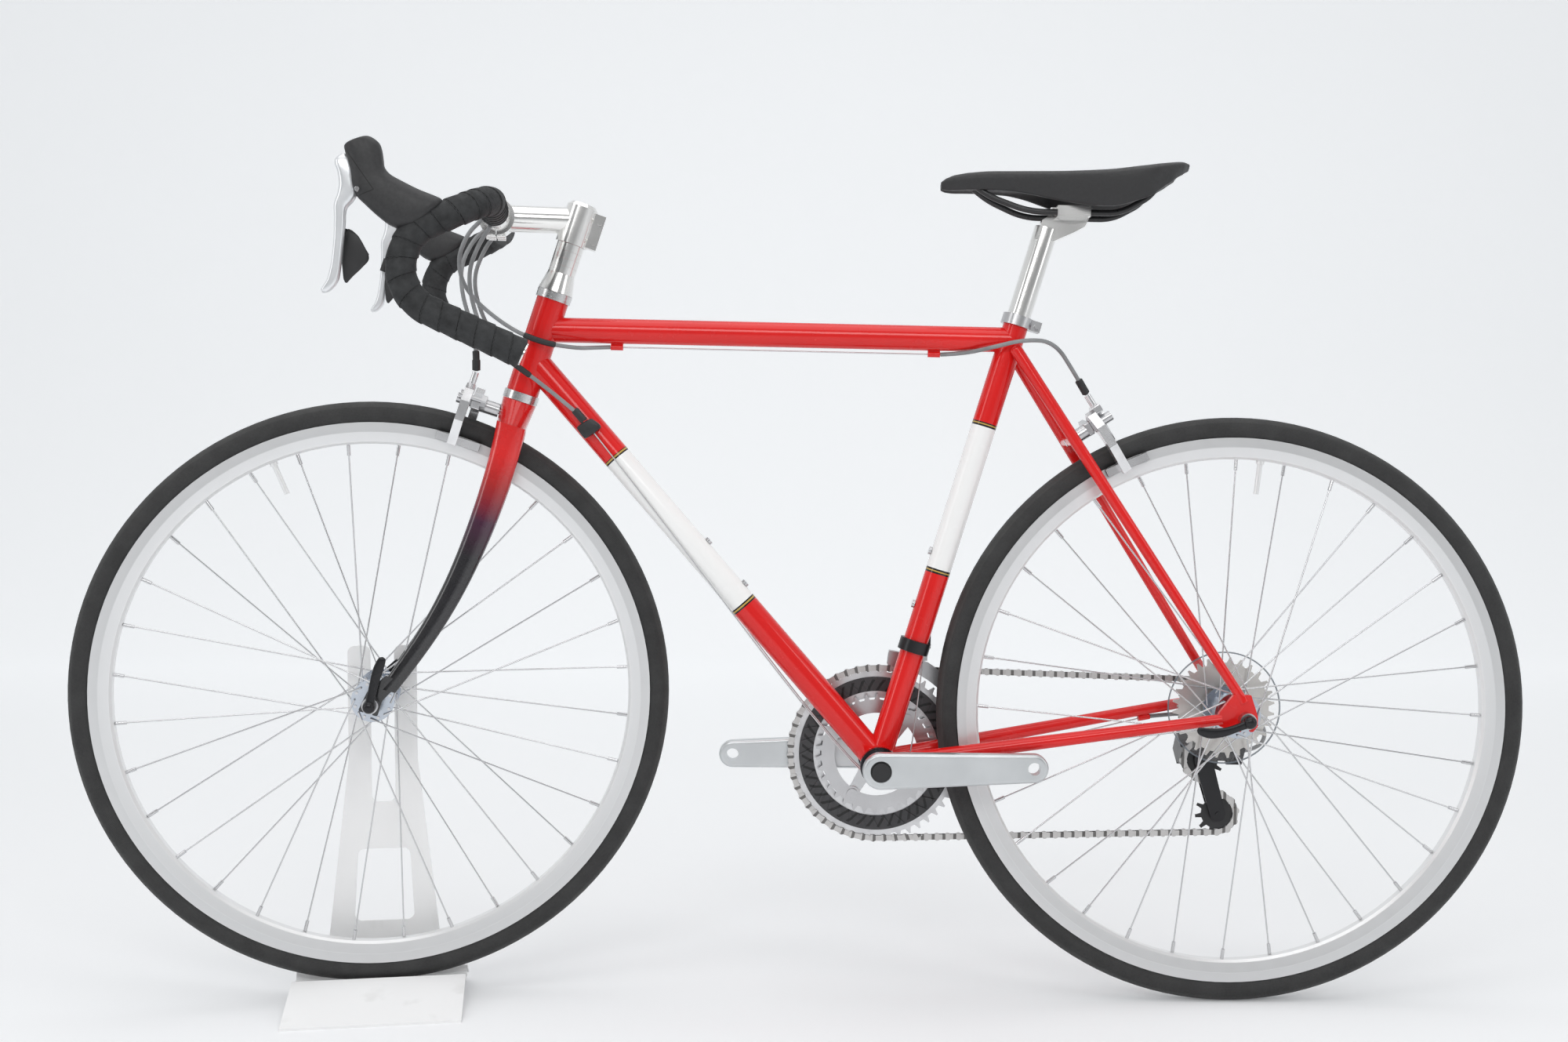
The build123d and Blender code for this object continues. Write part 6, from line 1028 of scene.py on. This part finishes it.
class BICYCLE_OT_frame(bpy.types.Operator):
    """Paints the frame's tubes and dresses their fittings"""

    bl_idname = "bicycle.frame"
    bl_label = "Frame paint"

    def execute(self, context):
        paint = context.scene.bicycle_paint
        plain = gloss_paint("red_gloss", paint)
        dress(plain, "head_tube", "top_tube", "bottom_bracket_shell", "chainstays", "seatstays")
        dress(gloss_paint("red_gloss_down", paint, DOWN_TUBE, paint.down_start, paint.down_end), "down_tube")
        dress(gloss_paint("red_gloss_seat", paint, SEAT_TUBE, paint.seat_start, paint.seat_end), "seat_tube")
        dress(cup_metal(), "bearing_cups")
        dress(metal("bolt_steel", (0.58, 0.58, 0.59), 0.28), "frame_bolts", "rear_axle", "fork_fittings")
        return {"FINISHED"}


class BICYCLE_OT_fork(bpy.types.Operator):
    """Paints the fork from red to woven carbon"""

    bl_idname = "bicycle.fork"
    bl_label = "Fork paint"

    def execute(self, context):
        dress(carbon_fade(context.scene.bicycle_paint), "fork")
        return {"FINISHED"}


class BICYCLE_OT_wheels(bpy.types.Operator):
    """Dresses tyres, rims, spokes, hubs and the spoke disc"""

    bl_idname = "bicycle.wheels"
    bl_label = "Wheels"

    def execute(self, context):
        for end, place in (("front", FRONT_WHEEL), ("rear", REAR_WHEEL)):
            dress(rim_metal(f"{end}_rim_metal", place), f"{end}_rim")
            dress(tyre_rubber(f"{end}_rubber", place), f"{end}_tyre")
        dress(metal("spoke_steel", BRIGHT_STEEL, 0.24), "front_spokes", "rear_spokes")
        dress(metal("hub_blue", (0.52, 0.56, 0.62), 0.24), "front_hub", "rear_hub")
        dress(clear_plastic(), "spoke_disc")
        return {"FINISHED"}


class BICYCLE_OT_drive(bpy.types.Operator):
    """Dresses cranks, chainrings, cassette, chain and both mechs"""

    bl_idname = "bicycle.drive"
    bl_label = "Drive"

    def execute(self, context):
        dress(crank_metal(), "cranks")
        dress(ring_metal(), "big_chainring")
        dress(metal("small_ring_metal", (0.55, 0.55, 0.56), 0.3), "small_chainring")
        dress(metal("cog_steel", (0.66, 0.635, 0.605), 0.3, metallic=0.85), "cassette")
        dress(chain_metal(), "chain")
        dark = metal("mech_black", (0.028, 0.028, 0.030), 0.3, metallic=0.6)
        dress(dark, "rear_mech_bracket", "rear_mech_outer_link", "rear_mech_inner_link", "rear_mech_knuckle",
              "rear_mech_cage", "front_mech_clamp", "front_mech_link")
        dress(metal("front_cage_steel", (0.50, 0.50, 0.51), 0.3), "front_mech_cage")
        dress(moulded("pulley_resin", BLACK_RESIN, 0.42), "guide_pulley", "tension_pulley")
        return {"FINISHED"}


class BICYCLE_OT_bright_parts(bpy.types.Operator):
    """Dresses the polished stem, spacers, seatpost, clamp, bar and brakes, and the black saddle rails"""

    bl_idname = "bicycle.bright_parts"
    bl_label = "Bright parts"

    def execute(self, context):
        bright = metal("polished_alloy", (0.86, 0.855, 0.84), 0.17, metallic=0.9)
        dress(bright, "stem", "stem_faceplate", "headset_spacers", "seatpost", "saddle_clamp", "handlebar")
        for end, place, reach in (("front", FRONT_BRAKE, FRONT_BRAKE_REACH), ("rear", REAR_BRAKE, REAR_BRAKE_REACH)):
            dress(caliper_metal(f"{end}_caliper", place, reach), f"{end}_brake_right_arm", f"{end}_brake_left_arm")
        dress(moulded("rail_black", (0.016, 0.016, 0.017), 0.32), "saddle_rails")
        return {"FINISHED"}


class BICYCLE_OT_tape(bpy.types.Operator):
    """Winds the bar tape"""

    bl_idname = "bicycle.tape"
    bl_label = "Bar tape"

    def execute(self, context):
        settings = context.scene.bicycle_tape
        put(taped_bar(settings), cork_tape(settings), "fork", "tape_black", "bar_tape")
        return {"FINISHED"}


class BICYCLE_OT_hoods(bpy.types.Operator):
    """Makes the rubber hoods with their lever brackets and pins"""

    bl_idname = "bicycle.hoods"
    bl_label = "Lever hoods"

    def execute(self, context):
        hoods, brackets, pins = [], [], []
        for side in (-1, 1):
            y = side * BAR_HALF_WIDTH
            hoods.append(lofted(HOOD_STATIONS, y, rows=90, sides=44, power=2.7, share=0.07))
            brackets.append(straight_bar(BRACKET_START, BRACKET_END, y, BRACKET_HALF_HEIGHT, BRACKET_HALF_WIDTH))
            pins.append(lever_pin(side))
        put(shell("hood_covers", hoods, sharp=80), hood_rubber(), "fork", "hood_rubber", "lever_hoods")
        put(shell("lever_brackets", brackets, sharp=50), metal("bracket_grey", (0.32, 0.32, 0.33), 0.3), "fork",
            "satin_alloy")
        put(shell("lever_pins", pins, sharp=40), metal("pin_steel", BRIGHT_STEEL, 0.2), "fork", "steel")
        return {"FINISHED"}


class BICYCLE_OT_levers(bpy.types.Operator):
    """Makes the brake levers and the faces of the shift paddles"""

    bl_idname = "bicycle.levers"
    bl_label = "Levers"

    def execute(self, context):
        silver = metal("lever_silver", (0.80, 0.815, 0.83), 0.3, metallic=0.7)
        black = moulded("paddle_black", BLACK_RESIN, 0.38)
        dress(black, "right_shift_paddle", "left_shift_paddle")
        sides = ((1, "right"), (-1, "left"))
        for side, word in sides:
            blade = lofted(LEVER_STATIONS, side * BAR_HALF_WIDTH, rows=90, sides=36, power=3.2, share=0.05)
            put(shell(f"{word}_lever_blade", [blade], sharp=80), silver, f"{word}_brake_lever", "polished_alloy",
                f"{word}_brake_lever")
        for side, word in sides:
            y = side * (BAR_HALF_WIDTH - PADDLE_OFF)
            face = lofted(PADDLE_STATIONS, y, rows=60, sides=28, power=4.0, share=0.05)
            put(shell(f"{word}_paddle_face", [face]), black, f"{word}_shift_paddle", "black_resin")
        return {"FINISHED"}


class BICYCLE_OT_quick_levers(bpy.types.Operator):
    """Makes the bowed quick release levers with their domed eyes"""

    bl_idname = "bicycle.quick_levers"
    bl_label = "Quick release levers"

    def execute(self, context):
        black = metal("quick_black", (0.022, 0.022, 0.024), 0.26, metallic=0.5)
        for end, place, angle, bow, y in QUICK_LEVERS:
            node = f"{end}_quick_release_lever"
            put(shell(f"{end}_quick_lever", quick_lever(place, angle, bow, y)), black, node, "dark_alloy", node)
        return {"FINISHED"}


class BICYCLE_OT_stops(bpy.types.Operator):
    """Makes the black shift stops on the down tube with their adjusters"""

    bl_idname = "bicycle.stops"
    bl_label = "Shift stops"

    def execute(self, context):
        shells = []
        for side in (-1, 1):
            shells.append(lofted(STOP_STATIONS, side * STOP_OFF, rows=40, sides=28, power=5.0, share=0.1,
                                 place=DOWN_TUBE))
            shells.append(straight_bar(ADJUSTER_START, ADJUSTER_END, side * ADJUSTER_OFF, ADJUSTER_HALF, ADJUSTER_HALF,
                                       DOWN_TUBE))
        put(shell("shift_stops", shells, sharp=50), moulded("stop_black", BLACK_RESIN, 0.4), "frame", "black_resin")
        return {"FINISHED"}


class BICYCLE_OT_cables(bpy.types.Operator):
    """Lays the brake and shift cables along their routes"""

    bl_idname = "bicycle.cables"
    bl_label = "Cables"

    def execute(self, context):
        settings = context.scene.bicycle_cables
        grey = moulded("housing_grey", tuple(settings.colour), 0.34, relief=0.00001)
        sleeve = moulded("black_sleeve", (0.016, 0.016, 0.017), 0.45)
        steel = metal("wire_steel", (0.6, 0.6, 0.61), 0.3)
        housing = {"diameter": settings.housing, "finish": grey, "slot": "grey_housing", "lay": "loose",
                   "sleeve": sleeve}
        wire = {"diameter": settings.wire, "finish": steel, "slot": "steel", "lay": "taut"}
        lay_cable("front_brake_housing", FRONT_BRAKE_ROUTE, nodes=["front_brake_cable"], body="fork",
                  pieces=FRONT_BOOT, **housing)
        lay_cable("rear_brake_housing", REAR_BRAKE_FRONT_ROUTE, nodes=["rear_brake_cable"], blended=True,
                  pieces=BRAKE_GUARD, **housing)
        lay_cable("rear_brake_wire", REAR_BRAKE_WIRE_ROUTE, **wire)
        lay_cable("rear_brake_tail", REAR_BRAKE_REAR_ROUTE, pieces=REAR_BOOT, **housing)
        lay_cable("left_shift_housing", LEFT_SHIFT_ROUTE, nodes=["shift_cables"], blended=True, pieces=SHIFT_GUARD,
                  **housing)
        lay_cable("right_shift_housing", RIGHT_SHIFT_ROUTE, blended=True, pieces=SHIFT_GUARD, **housing)
        lay_cable("left_shift_wire", LEFT_WIRE_ROUTE, **wire)
        lay_cable("right_shift_wire", RIGHT_WIRE_ROUTE, **wire)
        lay_cable("rear_shift_loop", REAR_LOOP_ROUTE, **housing)
        return {"FINISHED"}


class BICYCLE_OT_saddle(bpy.types.Operator):
    """Makes the saddle's padded cover"""

    bl_idname = "bicycle.saddle"
    bl_label = "Saddle"

    def execute(self, context):
        settings = context.scene.bicycle_saddle
        made = put(saddle_form(settings), saddle_skin(settings), "saddle", "saddle_black", "saddle_cover")
        return {"FINISHED"}


class BICYCLE_OT_stand(bpy.types.Operator):
    """Paints the stand"""

    bl_idname = "bicycle.stand"
    bl_label = "Stand"

    def execute(self, context):
        dress(stand_paint(), "stand")
        return {"FINISHED"}


# Stage, in metres and degrees

SHEET_FRONT, SHEET_BACK, SHEET_BEND, SHEET_TOP, SHEET_HALF_WIDTH = -9.0, 3.2, 1.2, 6.0, 9.0
# The sheet's own light rises to this many times its strength between two places along Y.
GLOW_FROM, GLOW_TO, GLOW_GAIN = 0.2, 3.0, 3.8
LAMPS = (
    # name, place, aim, width, height, share of the large lamp's power
    ("top_lamp", (0.0, -0.5, 3.2), (0.0, 0.0, 0.4), 3.0, 3.0, 1.0),
    ("front_lamp", (-0.2, -2.7, 1.95), (0.0, 0.0, 0.55), 2.6, 0.7, 0.75),
    ("left_lamp", (-2.8, -1.6, 1.4), (0.0, 0.0, 0.5), 0.7, 1.8, 0.3),
    ("right_lamp", (2.8, -1.6, 1.4), (0.0, 0.0, 0.5), 0.7, 1.8, 0.3))
# Y of the directions between which the sky rises from its near share to full.
SKY_NEAR, SKY_FULL = -0.9, 0.1
SKY_COLOUR = (0.97, 0.985, 1.0, 1.0)
CAMERA_AT = (-0.010747, -1.778228, 0.618094)
CAMERA_YAW, CAMERA_PITCH, CAMERA_ROLL = -0.3875, 2.0306, -0.081
SENSOR_WIDTH, LENS = 36.0, 35.958


def studio_sheet():
    """Floor that curves up into a backdrop: a line of floor, quarter circle and wall carried across."""
    angle = np.linspace(0, math.pi / 2, 25)
    y = np.concatenate([[SHEET_FRONT], SHEET_BACK + SHEET_BEND * np.sin(angle), [SHEET_BACK + SHEET_BEND]])
    z = np.concatenate([[0.0], SHEET_BEND * (1 - np.cos(angle)), [SHEET_TOP]])
    x = np.linspace(-SHEET_HALF_WIDTH, SHEET_HALF_WIDTH, 3)
    grid = np.stack(np.broadcast_arrays(x[None, :], y[:, None], z[:, None]), -1)
    return grid_mesh("studio_sheet", [grid], wrap=False, caps=False)


def area_lamp(name, at, toward, width, height, watts):
    """Soft box at a point, aimed at another."""
    data = bpy.data.lights.new(name, "AREA")
    data.shape = "RECTANGLE"
    data.size, data.size_y, data.energy = width, height, watts
    lamp = bpy.data.objects.new(name, data)
    lamp.location = at
    lamp.rotation_euler = (Vector(toward) - Vector(at)).to_track_quat("-Z", "Y").to_euler()
    bpy.context.scene.collection.objects.link(lamp)


def studio_sky(settings):
    """Light from all round: full above and behind the bicycle, falling to a share of it on the camera's side."""
    world = bpy.data.worlds.new("studio_sky")
    world.use_nodes = True
    tree = world.node_tree
    way = tree.nodes.new("ShaderNodeSeparateXYZ")
    tree.links.new(tree.nodes.new("ShaderNodeTexCoord").outputs["Generated"], way.inputs[0])
    fall = tree.nodes.new("ShaderNodeMapRange")
    fall.interpolation_type = "SMOOTHSTEP"
    tree.links.new(way.outputs["Y"], fall.inputs[0])
    for index, value in enumerate((SKY_NEAR, SKY_FULL, settings.sky * settings.near, settings.sky), start=1):
        fall.inputs[index].default_value = value
    sky = tree.nodes["Background"]
    sky.inputs["Color"].default_value = SKY_COLOUR
    tree.links.new(fall.outputs[0], sky.inputs["Strength"])
    return world


def photo_camera():
    """Camera at the photograph's place: turned by yaw and pitch, then rolled."""
    yaw, pitch, roll = (math.radians(v) for v in (CAMERA_YAW, CAMERA_PITCH, CAMERA_ROLL))
    ahead = Vector((math.sin(yaw) * math.cos(pitch), math.cos(yaw) * math.cos(pitch), -math.sin(pitch)))
    right = Vector((math.cos(yaw), -math.sin(yaw), 0))
    up = right.cross(ahead)
    right, up = math.cos(roll) * right + math.sin(roll) * up, math.cos(roll) * up - math.sin(roll) * right
    data = bpy.data.cameras.new("photo_camera")
    data.sensor_fit, data.sensor_width, data.lens = "HORIZONTAL", SENSOR_WIDTH, LENS
    camera = bpy.data.objects.new("photo_camera", data)
    camera.matrix_world = Matrix((right, up, -ahead)).transposed().to_4x4()
    camera.location = CAMERA_AT
    bpy.context.scene.collection.objects.link(camera)
    bpy.context.scene.camera = camera


class BICYCLE_OT_stage(bpy.types.Operator):
    """Sets the floor, backdrop, lamps, sky and camera"""

    bl_idname = "bicycle.stage"
    bl_label = "Stage"

    def execute(self, context):
        settings = context.scene.bicycle_stage
        paper = Finish("studio_paper")
        seen = paper.add("LightPath").outputs
        straight = paper.math("MAXIMUM", seen["Is Camera Ray"], seen["Is Transmission Ray"])
        shown = paper.math("MAXIMUM", straight, seen["Is Glossy Ray"])
        _, away, _ = paper.within(np.eye(4))
        rise = paper.range(away, GLOW_FROM, GLOW_TO, settings.glow, settings.glow * GLOW_GAIN)
        paper.shine(base_color=paper.mix(paper.noise(2.0, 3.0), shade(settings.floor, 0.985), tuple(settings.floor)),
                    roughness=paper.wander(30.0, 3.0, 0.7, 0.8), specular_ior_level=0.2,
                    emission_color=(0.95, 0.98, 1.0), emission_strength=paper.times(shown, rise))
        sheet = studio_sheet()
        sheet.data.materials.append(paper.material)
        for name, at, aim, width, height, share in LAMPS:
            area_lamp(name, at, aim, width, height, settings.lamp * share)
        context.scene.world = studio_sky(settings)
        context.scene.view_settings.view_transform = "Standard"
        photo_camera()
        return {"FINISHED"}


OPERATORS = (BICYCLE_OT_frame, BICYCLE_OT_fork, BICYCLE_OT_wheels, BICYCLE_OT_drive, BICYCLE_OT_bright_parts,
             BICYCLE_OT_tape, BICYCLE_OT_hoods, BICYCLE_OT_levers, BICYCLE_OT_quick_levers, BICYCLE_OT_stops,
             BICYCLE_OT_cables, BICYCLE_OT_saddle, BICYCLE_OT_stand, BICYCLE_OT_stage)
SETTINGS = {"bicycle_paint": PaintSettings, "bicycle_tape": TapeSettings, "bicycle_cables": CableSettings,
            "bicycle_saddle": SaddleSettings, "bicycle_stage": StageSettings}


class BICYCLE_PT_panel(bpy.types.Panel):
    """Lists the settings and the operators in the sidebar"""

    bl_idname = "BICYCLE_PT_panel"
    bl_label = "Bicycle on stand"
    bl_space_type = "VIEW_3D"
    bl_region_type = "UI"
    bl_category = "Bicycle"

    def draw(self, context):
        for operator in OPERATORS:
            self.layout.operator(operator.bl_idname)
        for name, group in SETTINGS.items():
            box = self.layout.box()
            for key in group.__annotations__:
                box.prop(getattr(context.scene, name), key)


def register():
    """Registers the settings, operators and panel."""
    for group in SETTINGS.values():
        bpy.utils.register_class(group)
    for name, group in SETTINGS.items():
        setattr(bpy.types.Scene, name, PointerProperty(type=group))
    for made in (*OPERATORS, BICYCLE_PT_panel):
        bpy.utils.register_class(made)


def unregister():
    """Takes away what register added."""
    for made in (BICYCLE_PT_panel, *reversed(OPERATORS)):
        bpy.utils.unregister_class(made)
    for name, group in SETTINGS.items():
        delattr(bpy.types.Scene, name)
        bpy.utils.unregister_class(group)


def main():
    """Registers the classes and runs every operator."""
    register()
    for operator in OPERATORS:
        group, call = operator.bl_idname.split(".")
        getattr(getattr(bpy.ops, group), call)()


if __name__ == "__main__":
    main()
